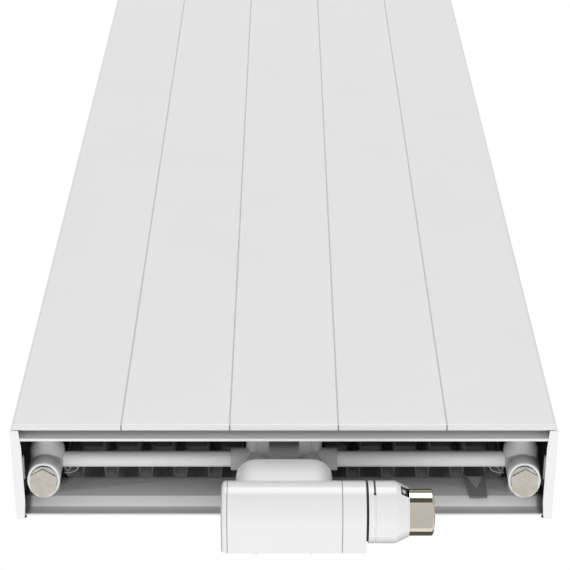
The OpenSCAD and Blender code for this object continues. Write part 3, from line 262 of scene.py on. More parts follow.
# %% Lamps
def soft_box(name, place, aim, width, height, radiance, mirrored=True):
    """A rectangular lamp whose face has the given brightness, where 1 is white."""
    lamp_data = bpy.data.lights.new(name, "AREA")
    lamp_data.shape = "RECTANGLE"
    lamp_data.size = width
    lamp_data.size_y = height
    lamp_data.energy = radiance * math.pi * width * height
    lamp = bpy.data.objects.new(name, lamp_data)
    way = (Vector(aim) - Vector(place)).normalized()
    side = way.cross(Vector((0.0, 0.0, 1.0)))
    if side.length < 0.01:
        side = Vector((1.0, 0.0, 0.0))
    side.normalize()
    turned = Matrix((side, side.cross(way), -way)).transposed().to_4x4()
    lamp.matrix_world = Matrix.Translation(Vector(place)) @ turned
    lamp.visible_camera = False
    lamp.visible_glossy = mirrored
    bpy.context.scene.collection.objects.link(lamp)
    print(name, "at", place, "brightness", radiance)


soft_box("front_soft_box", place=(0.05, -4.289, 1.731), aim=VALVE,
         width=3.2, height=2.87, radiance=2.55)
soft_box("low_soft_box", place=(0.0, 0.0, -2.45), aim=(0.0, 0.0, LOWER_EDGE),
         width=2.6, height=2.0, radiance=0.9, mirrored=False)

# %% Floor
FLOOR_Z = -2.62
FLOOR_HALF = 2.0
FLOOR_FRONT = (0.86, 0.86, 0.86, 1.0)
FLOOR_BACK = (0.99, 0.99, 0.99, 1.0)
TOWARDS_WALL = (-1.0, 1.8)


def new_material(name):
    """An empty material and its graph."""
    material = bpy.data.materials.new(name)
    material.use_nodes = True
    return material, Graph(material.node_tree)


floor_paint, paint = new_material("floor_paint")
to_wall = paint.split(paint.place())[1].ramp(*TOWARDS_WALL)
scuffs = paint.noise(3.0, 3.0) * 0.04
tone = paint.mix((to_wall + scuffs).clamp(), FLOOR_FRONT, FLOOR_BACK)
matt = paint.add("ShaderNodeBsdfPrincipled", {}, {"Base Color": tone, "Roughness": 0.8})
paint.add("ShaderNodeOutputMaterial", {}, {"Surface": matt})

floor_mesh = bpy.data.meshes.new("floor")
corners = [(x * FLOOR_HALF, y * FLOOR_HALF, FLOOR_Z)
           for x, y in ((-1, -1), (1, -1), (1, 1), (-1, 1))]
floor_mesh.from_pydata(corners, [], [(0, 1, 2, 3)])
floor = bpy.data.objects.new("floor", floor_mesh)
floor.data.materials.append(floor_paint)
bpy.context.scene.collection.objects.link(floor)
floor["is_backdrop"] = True
print("floor at", FLOOR_Z)

# %% [markdown]
# ## Finishes
#
# Seven finishes are on the real radiator. Powder coat has a fine orange peel, moulded
# plastic is glossier with almost none, nickel and brass show the lathe's rings, and zinc
# plate is cloudy. Each is one function of a graph that returns a material, so that a
# variant, such as the darker coat deep inside that paints its shade, only changes a number.

# %% Finish helper
def principled(graph, sockets, bump, strength, distance=0.0002):
    """Ends a graph in one shader, with a height that bends the light."""
    relief = {"Height": bump, "Strength": strength, "Distance": distance}
    sockets["Normal"] = graph.add("ShaderNodeBump", {}, relief)
    shader = graph.add("ShaderNodeBsdfPrincipled", {}, sockets)
    graph.add("ShaderNodeOutputMaterial", {}, {"Surface": shader})


def grey(level, warmth=0.0):
    """A near neutral colour, a little warm where warmth is above 0."""
    return (level + warmth, level, level - warmth, 1.0)


# %% Powder coat
DEPTH_SPAN_MM = 60.0
GROOVE_PITCH = 0.1
GROOVE_HALF = 0.0009
# Metres from the middle: the outermost groove, the start of the plate's bent nose and of
# its underside, and the place where the centre bar enters its sockets.
OUTER_GROOVE = 0.2
BENT_NOSE = (0.8975, 0.8987)
NOSE_FRONT = -0.1288
UNDERSIDE = (0.8988, 0.8996)
BAR_END = (0.0138, 0.0146)
# The dark grey of painted shade in hollows and corners.
PAINTED_SHADE_GREY = grey(0.13)


def tone_by_depth(graph, depth, stops):
    """A grey that changes with a depth in metres, to paint light and shade by depth.

    Each stop is a depth in millimetres and its grey."""
    share = (depth * (1000.0 / DEPTH_SPAN_MM)).clamp()
    node = graph.tree.nodes.new("ShaderNodeValToRGB")
    graph.tree.links.new(share.socket, node.inputs[0])
    marks = node.color_ramp.elements
    for (depth_mm, level), mark in zip(stops, list(marks)):
        mark.position = depth_mm / DEPTH_SPAN_MM
        mark.color = grey(level)
    for depth_mm, level in stops[2:]:
        marks.new(depth_mm / DEPTH_SPAN_MM).color = grey(level)
    return Wire(graph, node.outputs[0])


def front_plate_tint(graph, tint, level, x, y, z):
    """Painted shade in the plate's grooves and on its underside, and a painted highlight along
    its bent nose.
    """
    aside = graph.ping_pong(x - GROOVE_PITCH / 2, GROOVE_PITCH / 2)
    in_groove = 1.0 - aside.ramp(GROOVE_HALF * 0.6, GROOVE_HALF)
    in_groove = in_groove * (graph.size_of(x) < OUTER_GROOVE)
    tint = graph.mix(in_groove, tint, grey(0.72))
    end = graph.size_of(z)
    below = end.ramp(*UNDERSIDE)
    nose = end.ramp(*BENT_NOSE) * (y < NOSE_FRONT)
    tint = graph.mix(below, graph.mix(nose, tint, grey(0.92)), grey(level - 0.04))
    return graph.mix(in_groove * below, tint, grey(0.25))


def powder_coat(name, level, roughness, peel, stops=None, inwards=False,
                front_plate=False, painted_shade_where=None):
    """Baked powder: soft cloudiness, and an orange peel about a millimetre wide.

    Light and shade are painted into the coat's grey: stops gives its grey at some depths
    behind the end, or behind the plate if inwards, darker deep in hollows where shade falls.
    The last argument gives, from graph, x, y and z, the share of a painted dark shade."""
    material, graph = new_material(name)
    cloud = graph.noise(9.0, 3.0)
    speck = graph.noise(2600.0, 1.0)
    x, y, z = graph.split(graph.place())
    if stops:
        depth = y - FRONT_FACE if inwards else HALF_HEIGHT - graph.size_of(z)
        base = tone_by_depth(graph, depth, stops)
        if inwards:
            base = graph.mix(graph.size_of(x).ramp(*BAR_END), base, grey(level))
        tint = graph.mix(cloud * 0.06, base, grey(0.9))
    else:
        tint = graph.mix(cloud, grey(level - 0.012, 0.001), grey(level + 0.008))
    tint = graph.mix(speck.ramp(0.68, 0.8) * 0.05, tint, grey(0.2))
    if front_plate:
        tint = front_plate_tint(graph, tint, level, x, y, z)
    # Painted shade: a dark grey laid over the coat wherever the given function asks for it.
    if painted_shade_where:
        tint = graph.mix(painted_shade_where(graph, x, y, z), tint, PAINTED_SHADE_GREY)
    height = graph.noise(850.0, 2.0) + speck * 0.25
    sockets = {"Base Color": tint, "Roughness": roughness + 0.08 * cloud, "IOR": 1.5}
    principled(graph, sockets, height, peel, 0.00015)
    return material


# %% Where shade is painted on the coat
CHANNEL_HALF = 0.2515
CHANNEL_FRONT, CHANNEL_BACK = -0.118, -0.0275
CHANNEL_END = 0.8995
PANEL_OUTER_END = (0.2375, 0.2425)


def inside_channel(graph, x, y, z):
    """The hollow of a side panel, between its lips and its feet, where its shade is painted."""
    deep = (y > CHANNEL_FRONT) * (y < CHANNEL_BACK)
    return (graph.size_of(x) < CHANNEL_HALF) * deep * (graph.size_of(z) < CHANNEL_END)


def outer_end(graph, x, y, z):
    """The ends of the rear panel, deep in the side panels, where their shade is painted."""
    return graph.size_of(x).ramp(*PANEL_OUTER_END) * 0.9


print("places of painted shade described")

# %% Coats
# The whole radiator wears one white powder coat. The lower greys of the pieces inside, and the
# stops that darken them with depth, are painted shade. The light stops on the rear panel's slope
# and at the tees' ends are painted light.
PANEL_STOPS = [(0, 0.40), (10.4, 0.52), (11.0, 0.93), (17.8, 0.86), (18.8, 0.46),
               (45, 0.52), (52, 0.26)]
TEE_STOPS = [(0.8, 0.92), (2.5, 0.60), (8, 0.42), (15, 0.28), (17, 0.48), (40, 0.50)]
COAT_FRONT = powder_coat("powder_coat_front", 0.82, 0.38, 0.08, front_plate=True)
COAT_SIDE = powder_coat("powder_coat_side", 0.86, 0.36, 0.08, painted_shade_where=inside_channel)
COAT_GRILLE = powder_coat("powder_coat_grille", 0.86, 0.36, 0.08)
COAT_OUTER = powder_coat("powder_coat_behind_plate", 0.7, 0.5, 0.14,
                         [(3, 0.80), (7, 0.66), (10.5, 0.46), (15, 0.30)])
COAT_PANEL = powder_coat("powder_coat_rear_panel", 0.7, 0.45, 0.14, PANEL_STOPS,
                         painted_shade_where=outer_end)
COAT_HIDDEN = powder_coat("powder_coat_inside", 0.8, 0.5, 0.14, [(16.7, 0.80), (18.7, 0.13)])
COAT_BACK = powder_coat("powder_coat_back", 0.80, 0.45, 0.14)
COAT_TUBE = powder_coat("powder_coat_tube", 0.70, 0.36, 0.10)
COAT_TEE = powder_coat("powder_coat_corner_tee", 0.7, 0.40, 0.10, TEE_STOPS)
COAT_CENTRE = powder_coat("powder_coat_centre_tee", 0.46, 0.40, 0.10)
COAT_BAR = powder_coat("powder_coat_centre_bar", 0.46, 0.5, 0.14,
                       [(36, 0.05), (40, 0.17), (44.5, 0.38), (51, 0.60)], inwards=True)
COAT_FIN = powder_coat("powder_coat_fin", 0.3, 0.55, 0.16, [(50.2, 0.14), (50.7, 0.44)])
COAT_FIN_FRONT = powder_coat("powder_coat_fin_front", 0.1, 0.55, 0.16,
                             [(50.2, 0.02), (50.7, 0.10)])
COAT_CURL = powder_coat("powder_coat_fin_curl", 0.62, 0.5, 0.14)
COAT_CATCH = powder_coat("powder_coat_catch", 0.3, 0.5, 0.16,
                         [(14.5, 0.10), (15.3, 0.22), (50, 0.26)])
print("powder coats made")

# %% Moulded plastic
# Lines of painted shade on the cover: along its rounded left edge, and in the end cap's joint and
# the adapter's joint.
COVER_JOINTS = (-0.0560, -0.0511, 0.0525)
JOINT_SHADE = grey(0.42)
JOINT_SHADE_REACH = (0.00025, 0.0006)


def moulded_plastic(name, level, roughness, coat=0.0, grain=0.03, joints=()):
    """Injection moulded plastic: even colour, faint flow marks and a very fine grain.

    A thin line of painted shade darkens each place along the valve that is in joints."""
    material, graph = new_material(name)
    flow = graph.noise(14.0, 2.0, graph.stretch(0.4, 1.0, 1.0))
    grit = graph.noise(3800.0, 1.0)
    tint = graph.mix(flow, grey(level - 0.006), grey(level + 0.006, 0.001))
    along = graph.split(graph.place())[0]
    for joint in joints:
        near = 1.0 - graph.size_of(along - joint).ramp(*JOINT_SHADE_REACH)
        tint = graph.mix(near, tint, JOINT_SHADE)
    rough = (roughness + 0.05 * (flow - 0.5) + 0.03 * grit).clamp()
    sockets = {"Base Color": tint, "Roughness": rough, "IOR": 1.5}
    if coat:
        sockets["Coat Weight"] = coat
        sockets["Coat Roughness"] = 0.12
    principled(graph, sockets, grit, grain, 0.00006)
    return material


PLASTIC_COVER = moulded_plastic("white_plastic_cover", 0.81, 0.24, 0.5, 0.03, COVER_JOINTS)
# The hood is the same white plastic as the cover. Its lighter grey is painted light.
PLASTIC_HOOD = moulded_plastic("white_plastic_hood", 0.92, 0.3, 0.3)
PLASTIC_HEAD = moulded_plastic("white_plastic_head", 0.81, 0.22, 0.5)
PLASTIC_SMALL = moulded_plastic("white_plastic_small", 0.82, 0.35)
PLASTIC_MARK = moulded_plastic("white_plastic_print", 0.80, 0.45)
PLASTIC_BLACK = moulded_plastic("black_plastic_matt", 0.018, 0.5, 0.0, 0.2)
print("plastics made")

# %% Turned metal
RINGS_PER_METRE = 2600.0
CLOUDS_PER_METRE = 60.0


def turned_metal(name, low, high, roughness, ring_axis, wear=0.3):
    """Plated or bare metal off a lathe: rings round one axis, and cloudy handling marks."""
    material, graph = new_material(name)
    scale = [CLOUDS_PER_METRE] * 3
    scale["XYZ".index(ring_axis)] = RINGS_PER_METRE
    ring = graph.noise(1.0, 1.0, graph.stretch(*scale))
    cloud = graph.noise(120.0, 4.0)
    tint = graph.mix(cloud.ramp(0.3, 0.75), (*low, 1.0), (*high, 1.0))
    rough = (roughness + 0.10 * (ring - 0.5) + wear * 0.15 * (cloud - 0.5)).clamp(0.05)
    sockets = {"Base Color": tint, "Metallic": 1.0, "Roughness": rough}
    principled(graph, sockets, ring, 0.08, 0.00004)
    return material


NICKEL_DARK, NICKEL = (0.675, 0.63, 0.54), (0.70, 0.655, 0.565)
NICKEL_CAP = turned_metal("nickel_cap", NICKEL_DARK, NICKEL, 0.035, "X", wear=0.05)
NICKEL_PLUG = turned_metal("nickel_plug", (0.72, 0.68, 0.60), (0.80, 0.765, 0.69), 0.42, "Z")
NICKEL_NUT = turned_metal("nickel_nut", (0.60, 0.585, 0.55), (0.70, 0.69, 0.66), 0.28, "Y")
BRASS_BODY = turned_metal("brass_body", (0.58, 0.43, 0.20), (0.74, 0.58, 0.31), 0.33, "X")
BRASS_TURNED = turned_metal("brass_turned", (0.62, 0.47, 0.22), (0.76, 0.60, 0.32), 0.22, "Y")
STEEL_TURNED = turned_metal("steel_turned", (0.50, 0.50, 0.50), (0.62, 0.62, 0.63), 0.25, "X")
print("turned metals made")

# %% Zinc plate and rubber
def zinc_plate(name):
    """Zinc plated sheet: spangle cells a few millimetres wide, with a cool tint."""
    material, graph = new_material(name)
    sockets = {"Vector": graph.place(), "Scale": 240.0}
    cell = graph.add("ShaderNodeTexVoronoi", {}, sockets, "Color")
    cell_grey = graph.split(cell)[0]
    smear = graph.noise(40.0, 4.0)
    shade = (cell_grey * 0.6 + smear * 0.4).clamp()
    tint = graph.mix(shade, (0.50, 0.51, 0.53, 1.0), (0.68, 0.68, 0.69, 1.0))
    rough = 0.34 + 0.12 * cell_grey
    principled(graph, {"Base Color": tint, "Metallic": 1.0, "Roughness": rough}, smear, 0.08)
    return material


def black_rubber(name):
    """Moulded rubber: very dark, dull, with a fine pebbled skin."""
    material, graph = new_material(name)
    pebble = graph.noise(1500.0, 3.0)
    tint = graph.mix(pebble, grey(0.02), grey(0.05))
    principled(graph, {"Base Color": tint, "Roughness": 0.75 + 0.1 * pebble}, pebble, 0.3)
    return material


ZINC = zinc_plate("zinc_plated_sheet")
RUBBER = black_rubber("rubber_seal")
print("zinc and rubber made")

# %% [markdown]
# ## Softened edges
#
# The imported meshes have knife-sharp corners, and a real pressed, turned or moulded edge
# always catches a thin line of light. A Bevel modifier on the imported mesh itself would
# meet loose triangles, so each piece is a copy whose triangles are joined, whose flat
# faces are made whole, and whose corners are then bevelled by a piece's own radius.

# %% Softened copies
SAME_POINT = 2e-6
TINY_EDGE = 1e-6
FLAT_WITHIN = math.radians(0.4)


def joined_copy(node):
    """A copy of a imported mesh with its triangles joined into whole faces."""
    mesh = frame["nodes"][node].data.copy()
    work = bmesh.new()
    work.from_mesh(mesh)
    bmesh.ops.remove_doubles(work, verts=work.verts, dist=SAME_POINT)
    bmesh.ops.dissolve_degenerate(work, edges=work.edges, dist=TINY_EDGE)
    bmesh.ops.dissolve_limit(work, angle_limit=FLAT_WITHIN, use_dissolve_boundaries=False,
                             verts=work.verts, edges=work.edges)
    bmesh.ops.triangulate(work, faces=[f for f in work.faces if len(f.verts) > 4])
    work.to_mesh(mesh)
    work.free()
    return mesh


def bake(piece):
    """Turns a piece and its modifiers into one plain mesh."""
    bpy.context.view_layer.update()
    evaluated = piece.evaluated_get(bpy.context.evaluated_depsgraph_get())
    mesh = bpy.data.meshes.new_from_object(evaluated)
    piece.modifiers.clear()
    piece.data = mesh
    return mesh


def body_of(node):
    """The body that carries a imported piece."""
    for body, nodes in frame["record"]["behaviour"]["bodies"].items():
        if node in nodes:
            return body
    raise KeyError(node)


def slot_of(node):
    """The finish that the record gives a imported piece."""
    rows = frame["record"]["subparts"]
    return next(row["material_slot"] for row in rows if row["node"] == node)


print("copies ready for", len(frame["nodes"]), "packed pieces")

# %% [markdown]
# The hood over the valve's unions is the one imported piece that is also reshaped. Its ends
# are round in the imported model, and squarer at the top in the photograph. A superellipse
# does this with one number: 2 is a circle, and larger is squarer.

# %% Hood
HOOD_STRAIGHT = 0.022
HOOD_SQUARENESS = 2.45
HOOD_FOOT, HOOD_SHOULDER = -0.932, -0.915


def squarer_hood(mesh):
    """Makes the hood's round ends squarer towards its top. Its foot stays on the cover."""
    power = HOOD_SQUARENESS
    for vertex in mesh.vertices:
        x, y, z = vertex.co
        aside, across = abs(x) - HOOD_STRAIGHT, y - VALVE_Y
        if aside <= 0.0:
            continue
        reach = math.hypot(aside, across)
        round_end = (aside / reach) ** power + abs(across / reach) ** power
        share = min(max((z - HOOD_FOOT) / (HOOD_SHOULDER - HOOD_FOOT), 0.0), 1.0)
        grow = 1.0 + (round_end ** (-1.0 / power) - 1.0) * share
        vertex.co = (math.copysign(HOOD_STRAIGHT + aside * grow, x), across * grow + VALVE_Y, z)


RESHAPED = {"cover_hood": squarer_hood}
print("hood ends squared by", HOOD_SQUARENESS)

# %% Softened pieces
BEVEL_STEPS = 2
BEVEL_ABOVE = math.radians(32.0)
SMOOTH_BELOW = math.radians(28.0)


def soften(node, radius_mm, material):
    """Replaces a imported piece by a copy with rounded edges, in its own finish."""
    mesh = joined_copy(node)
    if node in RESHAPED:
        RESHAPED[node](mesh)
    piece = bpy.data.objects.new(node + "_finished", mesh)
    bpy.context.scene.collection.objects.link(piece)
    mesh.materials.clear()
    mesh.materials.append(material)
    mesh.shade_smooth()
    if radius_mm:
        bevel = piece.modifiers.new("edge", "BEVEL")
        bevel.width = radius_mm / 1000.0
        bevel.segments = BEVEL_STEPS
        bevel.limit_method = "ANGLE"
        bevel.angle_limit = BEVEL_ABOVE
        bevel.use_clamp_overlap = True
        bevel.harden_normals = False
        bevel.miter_outer = "MITER_ARC"
        bake(piece)
    piece.data.shade_smooth()
    piece.data.set_sharp_from_angle(angle=SMOOTH_BELOW)
    weigh = piece.modifiers.new("flat_faces_stay_flat", "WEIGHTED_NORMAL")
    weigh.mode = "FACE_AREA"
    weigh.weight = 50
    weigh.keep_sharp = True
    bake(piece)
    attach(piece, body_of(node))
    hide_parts(node)
    slot_of(node)
    return piece


SOFT_EDGES = {
    "front_panel": (0.5, COAT_FRONT), "side_panel_left": (0.35, COAT_SIDE),
    "side_panel_right": (0.35, COAT_SIDE), "top_grille": (0.3, COAT_GRILLE),
    "front_heater_outer_sheet": (0.0, COAT_OUTER), "front_heater_inner_sheet": (0.0, COAT_HIDDEN),
    "rear_heater_inner_sheet": (0.0, COAT_PANEL), "rear_heater_outer_sheet": (0.0, COAT_BACK),
    "front_convector": (0.0, COAT_FIN_FRONT), "rear_convector": (0.0, COAT_FIN),
    "tee_bottom_left": (0.6, COAT_TEE), "tee_bottom_right": (0.6, COAT_TEE),
    "tee_top_left": (0.6, COAT_TEE), "tee_top_right": (0.6, COAT_TEE),
    "centre_tee_supply": (0.5, COAT_CENTRE), "centre_tee_return": (0.5, COAT_CENTRE),
    "centre_spacer_bar": (0.5, COAT_BAR), "feed_tube_supply": (0.2, COAT_TUBE),
    "feed_tube_return": (0.2, COAT_TUBE), "hanging_lugs": (0.4, COAT_BACK),
    "side_clips": (0.25, ZINC),
    "wall_brackets_upper": (0.4, ZINC), "wall_brackets_lower": (0.4, ZINC),
    "bracket_pads": (0.15, PLASTIC_SMALL), "bonding_strips": (0.2, RUBBER),
    "plug_top_left": (0.3, NICKEL_PLUG), "plug_seals": (0.2, RUBBER),
    "vent_body": (0.3, NICKEL_PLUG), "vent_screw": (0.2, BRASS_TURNED),
    "vent_outlet_ring": (0.3, PLASTIC_SMALL), "valve_body": (0.5, BRASS_BODY),
    "tailpieces": (0.2, NICKEL_NUT), "tail_seals": (0.15, RUBBER),
    "union_nut_supply": (0.4, NICKEL_NUT), "union_nut_return": (0.4, NICKEL_NUT),
    "insert_body": (0.3, BRASS_BODY), "valve_stem": (0.1, STEEL_TURNED),
    "shutoff_supply": (0.3, BRASS_TURNED), "shutoff_return": (0.3, BRASS_TURNED),
    "pipe_nut_supply": (0.4, NICKEL_NUT), "pipe_nut_return": (0.4, NICKEL_NUT),
    "pipe_olives": (0.1, BRASS_TURNED), "cover_shell": (0.3, PLASTIC_COVER),
    "cover_end_cap": (0.3, PLASTIC_COVER), "cover_adapter": (0.3, PLASTIC_COVER),
    "cover_hood": (0.3, PLASTIC_HOOD), "head_nut": (0.3, NICKEL_NUT),
    "head_base": (0.3, PLASTIC_BLACK), "scale_drum": (0.1, PLASTIC_BLACK),
    "scale_numerals": (0.0, PLASTIC_MARK), "grip_sleeve": (0.4, PLASTIC_HEAD),
    "limiter_band": (0.0, PLASTIC_BLACK), "head_end_cap": (0.5, NICKEL_CAP),
    "sensor_capsule": (0.2, STEEL_TURNED), "push_rod": (0.2, STEEL_TURNED),
}

finished = [soften(node, *edge_and_coat) for node, edge_and_coat in SOFT_EDGES.items()]
print(len(finished), "pieces finished,", sum(len(p.data.polygons) for p in finished), "faces")

# %% Spring
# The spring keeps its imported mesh, because its joint squeezes it.
spring = frame["nodes"]["valve_spring"]
spring.data.materials.clear()
spring.data.materials.append(STEEL_TURNED)
print("spring dressed,", len(spring.data.polygons), "faces")

# %% [markdown]
# ## Pieces drawn one by one
#
# Some small things are too fine for the imported model: the mark on the head's limiter, the
# curled ends of the fins, the clip leaves of the side panels, and dark strips that paint the
# shade under the plate's ends. The lower plugs and the catch are drawn again, nearer to the
# photograph, and replace the packed ones. Each is a loft: a list of rings with the same
# number of points, joined ring by ring and closed at both ends. The points are in the
# radiator's own frame, in metres.

# %% Lofts
CREASE_DEG = 35.0


def own_piece(name, mesh, body, material):
    """A new piece at the origin that rides a body."""
    mesh.materials.clear()
    mesh.materials.append(material)
    piece = bpy.data.objects.new(name, mesh)
    bpy.context.scene.collection.objects.link(piece)
    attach(piece, body)
    return piece


def loft(work, rings):
    """Adds a closed skin through rings of points to a mesh being worked on."""
    rows = [[work.verts.new(point) for point in ring] for ring in rings]
    count = len(rows[0])
    for low, high in zip(rows, rows[1:]):
        for i in range(count):
            k = (i + 1) % count
            work.faces.new((low[i], low[k], high[k], high[i]))
    work.faces.new(rows[0][::-1])
    work.faces.new(rows[-1])


def shaped(name, lofts, sharp_deg=CREASE_DEG):
    """A mesh made of lofts, with its faces turned outwards."""
    work = bmesh.new()
    for rings in lofts:
        loft(work, rings)
    bmesh.ops.recalc_face_normals(work, faces=work.faces)
    mesh = bpy.data.meshes.new(name)
    work.to_mesh(mesh)
    work.free()
    mesh.shade_smooth()
    mesh.set_sharp_from_angle(angle=math.radians(sharp_deg))
    return mesh


def from_drawing(x_mm, y_mm, z_mm):
    """A point of the drawing, measured from the plate's front and the lower edge."""
    return Vector((x_mm / 1000.0, FRONT_FACE + y_mm / 1000.0, LOWER_EDGE + z_mm / 1000.0))


print("lofts ready")

# %% Limiter mark
GRIP_R = 0.0282
MARK_X = 0.0815
MARK_HALF = 0.0007
MARK_DEPTH, MARK_HEIGHT = 0.0003, 0.00006
MARK_LOW, MARK_HIGH, MARK_STEPS = -21.0, 112.0, 52
DOT_R, DOT_R_DEG = 0.0013, 2.6
DOT_FIRST, DOT_LAST, DOT_STEPS = 7.5, 172.5, 12


def on_grip(x, angle_deg, radius):
    """A point on the grip: angle 0 faces the room and 90 is on top."""
    turn = math.radians(angle_deg)
    return Vector((x, VALVE.y - radius * math.cos(turn), VALVE.z + radius * math.sin(turn)))


def mark_ring(angle_deg, half):
    """A thin oblong across the mark, mostly sunk into the grip."""
    low, high = GRIP_R - MARK_DEPTH, GRIP_R + MARK_HEIGHT
    corners = ((-half, low), (half, low), (half, high), (-half, high))
    return [on_grip(MARK_X + dx, angle_deg, radius) for dx, radius in corners]


def between(low, high, steps):
    """Evenly spaced values from low to high."""
    return [low + (high - low) * i / steps for i in range(steps + 1)]


stripe = [mark_ring(angle, MARK_HALF) for angle in between(MARK_LOW, MARK_HIGH, MARK_STEPS)]
dot = []
for swing_deg in between(DOT_FIRST, DOT_LAST, DOT_STEPS):
    swing = math.radians(swing_deg)
    dot.append(mark_ring(MARK_LOW - DOT_R_DEG * math.cos(swing), DOT_R * math.sin(swing)))
limiter_mark = own_piece("limiter_mark", shaped("limiter_mark", [stripe, dot]), "head",
                         PLASTIC_BLACK)
print("limiter mark", len(limiter_mark.data.polygons), "faces")

# %% Lower plugs
# Sizes in millimetres. The plug's rings are given as radius and height, from inside the tee
# to below it: a shank, a flange, a neck, and a hexagon whose lower face is slanted.
SIDES = (("left", -1), ("right", 1))
PLUG_X, PLUG_Y = 224.0, 57.7
PLUG_CORNER = 13.8
PLUG_TILT = 0.235
PLUG_POINTS = 72
PLUG_ROUND = ((8.9, 15.8), (9.3, 15.2), (9.3, 2.0), (12.0, 1.9), (12.2, 1.6), (12.2, -0.6),
              (11.9, -1.0), (11.9, -5.2))
PLUG_HEXAGON = ((PLUG_CORNER - 0.9, -7.9), (PLUG_CORNER, -8.5), (PLUG_CORNER, -10.8),
                (PLUG_CORNER - 0.4, -11.15))


def hexagon_radius(corner_radius, angle_deg):
    """How far a hexagon with blunted corners reaches at an angle from a corner."""
    off_flat = math.radians(angle_deg % 60.0 - 30.0)
    to_side = corner_radius * math.cos(math.radians(30.0)) / math.cos(off_flat)
    return min(to_side, corner_radius * 0.985)


def plug_outline(x_mm, radius_mm, z_mm, corners=False, tilt=0.0):
    """One outline round a plug: a circle, or a hexagon with one corner to the front."""
    points = []
    for i in range(PLUG_POINTS):
        turn_deg = i * 360.0 / PLUG_POINTS
        radius = hexagon_radius(radius_mm, turn_deg) if corners else radius_mm
        angle = math.radians(turn_deg + 90.0)
        x, y = radius * math.cos(angle), radius * math.sin(angle)
        points.append(from_drawing(x_mm + x, PLUG_Y + y, z_mm - tilt * y))
    return points


for side, sign in SIDES:
    x = sign * PLUG_X
    rings = [plug_outline(x, r, z) for r, z in PLUG_ROUND]
    rings += [plug_outline(x, r, z, True, PLUG_TILT) for r, z in PLUG_HEXAGON]
    name = "plug_body_" + side
    plug = own_piece(name, shaped(name, [rings], 30.0), "root", NICKEL_PLUG)
    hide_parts("plug_bottom_" + side)
print("plugs made, tilted", PLUG_TILT)

# %% Fin curls
# Paths of x and y in millimetres: one long curl and two short struts beside it.
CURL_PATHS = (
    ((197.8, 78.3), (199.6, 81.8), (201.9, 83.9), (204.1, 84.6), (206.1, 85.4), (208.2, 85.6),
     (212.4, 85.6)),
    ((205.4, 78.8), (209.0, 83.9)),
    ((211.5, 79.9), (209.8, 83.9)),
)
CURL_THICK = 0.9
CURL_ENDS = (50.2, 120.0)


def strip_outline(path, thickness):
    """The outline of a thin strip that follows a path."""
    points = [Vector(p) for p in path]
    left, right = [], []
    for i, point in enumerate(points):
        before, after = points[max(i - 1, 0)], points[min(i + 1, len(points) - 1)]
        way = (after - before).normalized()
        aside = Vector((-way.y, way.x)) * thickness / 2
        left.append(point + aside)
        right.append(point - aside)
    return left + right[::-1]


for side, sign in SIDES:
    lofts = []
    for path in CURL_PATHS:
        outline = strip_outline(path, CURL_THICK)
        lofts.append([[from_drawing(sign * p.x, p.y, z) for p in outline] for z in CURL_ENDS])
    name = "fin_curl_" + side
    own_piece(name, shaped(name, lofts), "root", COAT_CURL)
print("fin curls made")

# %% Dark strips and clip leaves of the side panels
# Limits of x, y and z in millimetres. Those of x are for the right side.
SHADOW_STRIP = ((242.0, 249.4), (5.7, 6.9), (-0.25, 9.0))
DARK_NUB = ((243.4, 245.2), (99.6, 103.0), (-0.6, 6.0))
CLIP_LEAF = ((242.4, 244.2), (37.0, 61.0), (2.0, 6.0))
BLUNT = 0.25


def side_bar(sign, limits):
    """A small bar with a blunted lower edge. Its x limits are mirrored on the left."""
    (x0, x1), (y0, y1), (z0, z1) = sorted(sign * x for x in limits[0]), limits[1], limits[2]
    rings = []
    for z, inset in ((z0, BLUNT), (z0 + BLUNT, 0.0), (z1, 0.0)):
        a, b, c, d = x0 + inset, x1 - inset, y0 + inset, y1 - inset
        rings.append([from_drawing(x, y, z) for x, y in ((a, c), (b, c), (b, d), (a, d))])
    return rings


# The black strip under each end of the plate stands where there is only shade: painted shade. A
# small dark nub at the rear panel is part of the same piece. The clip leaf's mid grey is painted
# shade as well.
for side, sign in SIDES:
    name = "side_dark_strips_" + side
    mesh = shaped(name, [side_bar(sign, SHADOW_STRIP), side_bar(sign, DARK_NUB)])
    own_piece(name, mesh, "root", RUBBER)
    name = "side_clip_leaf_" + side
    mesh = shaped(name, [side_bar(sign, CLIP_LEAF)])
    own_piece(name, mesh, "root", COAT_CENTRE)
print("side dark strips and clip leaves made")

# %% Catch
# Corners as x and z in millimetres. The V is open at the top, and a light web fills it. Both
# greys are painted shade on the white coat, darker on the plate and its foot than on the web.
CATCH_CORNERS = ((172.8, 49.9), (175.4, 49.9), (183.6, 25.5), (192.9, 49.9), (193.8, 49.9),
                 (192.6, 14.4), (176.2, 14.4))
CATCH_WEB = ((175.6, 49.6), (192.8, 49.6), (183.6, 26.0))
CATCH_FRONT, WEB_FRONT, CATCH_BACK = 88.0, 89.6, 90.4


def upright(corners, y0, y1):
    """A thin plate facing the room, from corners given as x and z."""
    return [[from_drawing(x, y, z) for x, z in corners] for y in (y0, y1)]


catch_mesh = shaped("catch_plate", [upright(CATCH_CORNERS, CATCH_FRONT, CATCH_BACK)])
catch = own_piece("catch_plate", catch_mesh, "root", COAT_CATCH)
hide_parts("catch_bracket")
web_mesh = shaped("catch_web", [upright(CATCH_WEB, WEB_FRONT, CATCH_BACK)])
own_piece("catch_web", web_mesh, "root", COAT_CURL)
print("catch made")

# %% [markdown]
# ## Repeats grown by Geometry Nodes
#
# Spot welds and thread crests are one small shape repeated many times. A Geometry Nodes
# recipe draws the shape once, sets it on rows of points and keeps its sizes as named
# inputs. The recipe is built here in the script, evaluated once and baked into one plain
# mesh, because a piece that is handed over must not depend on a modifier.

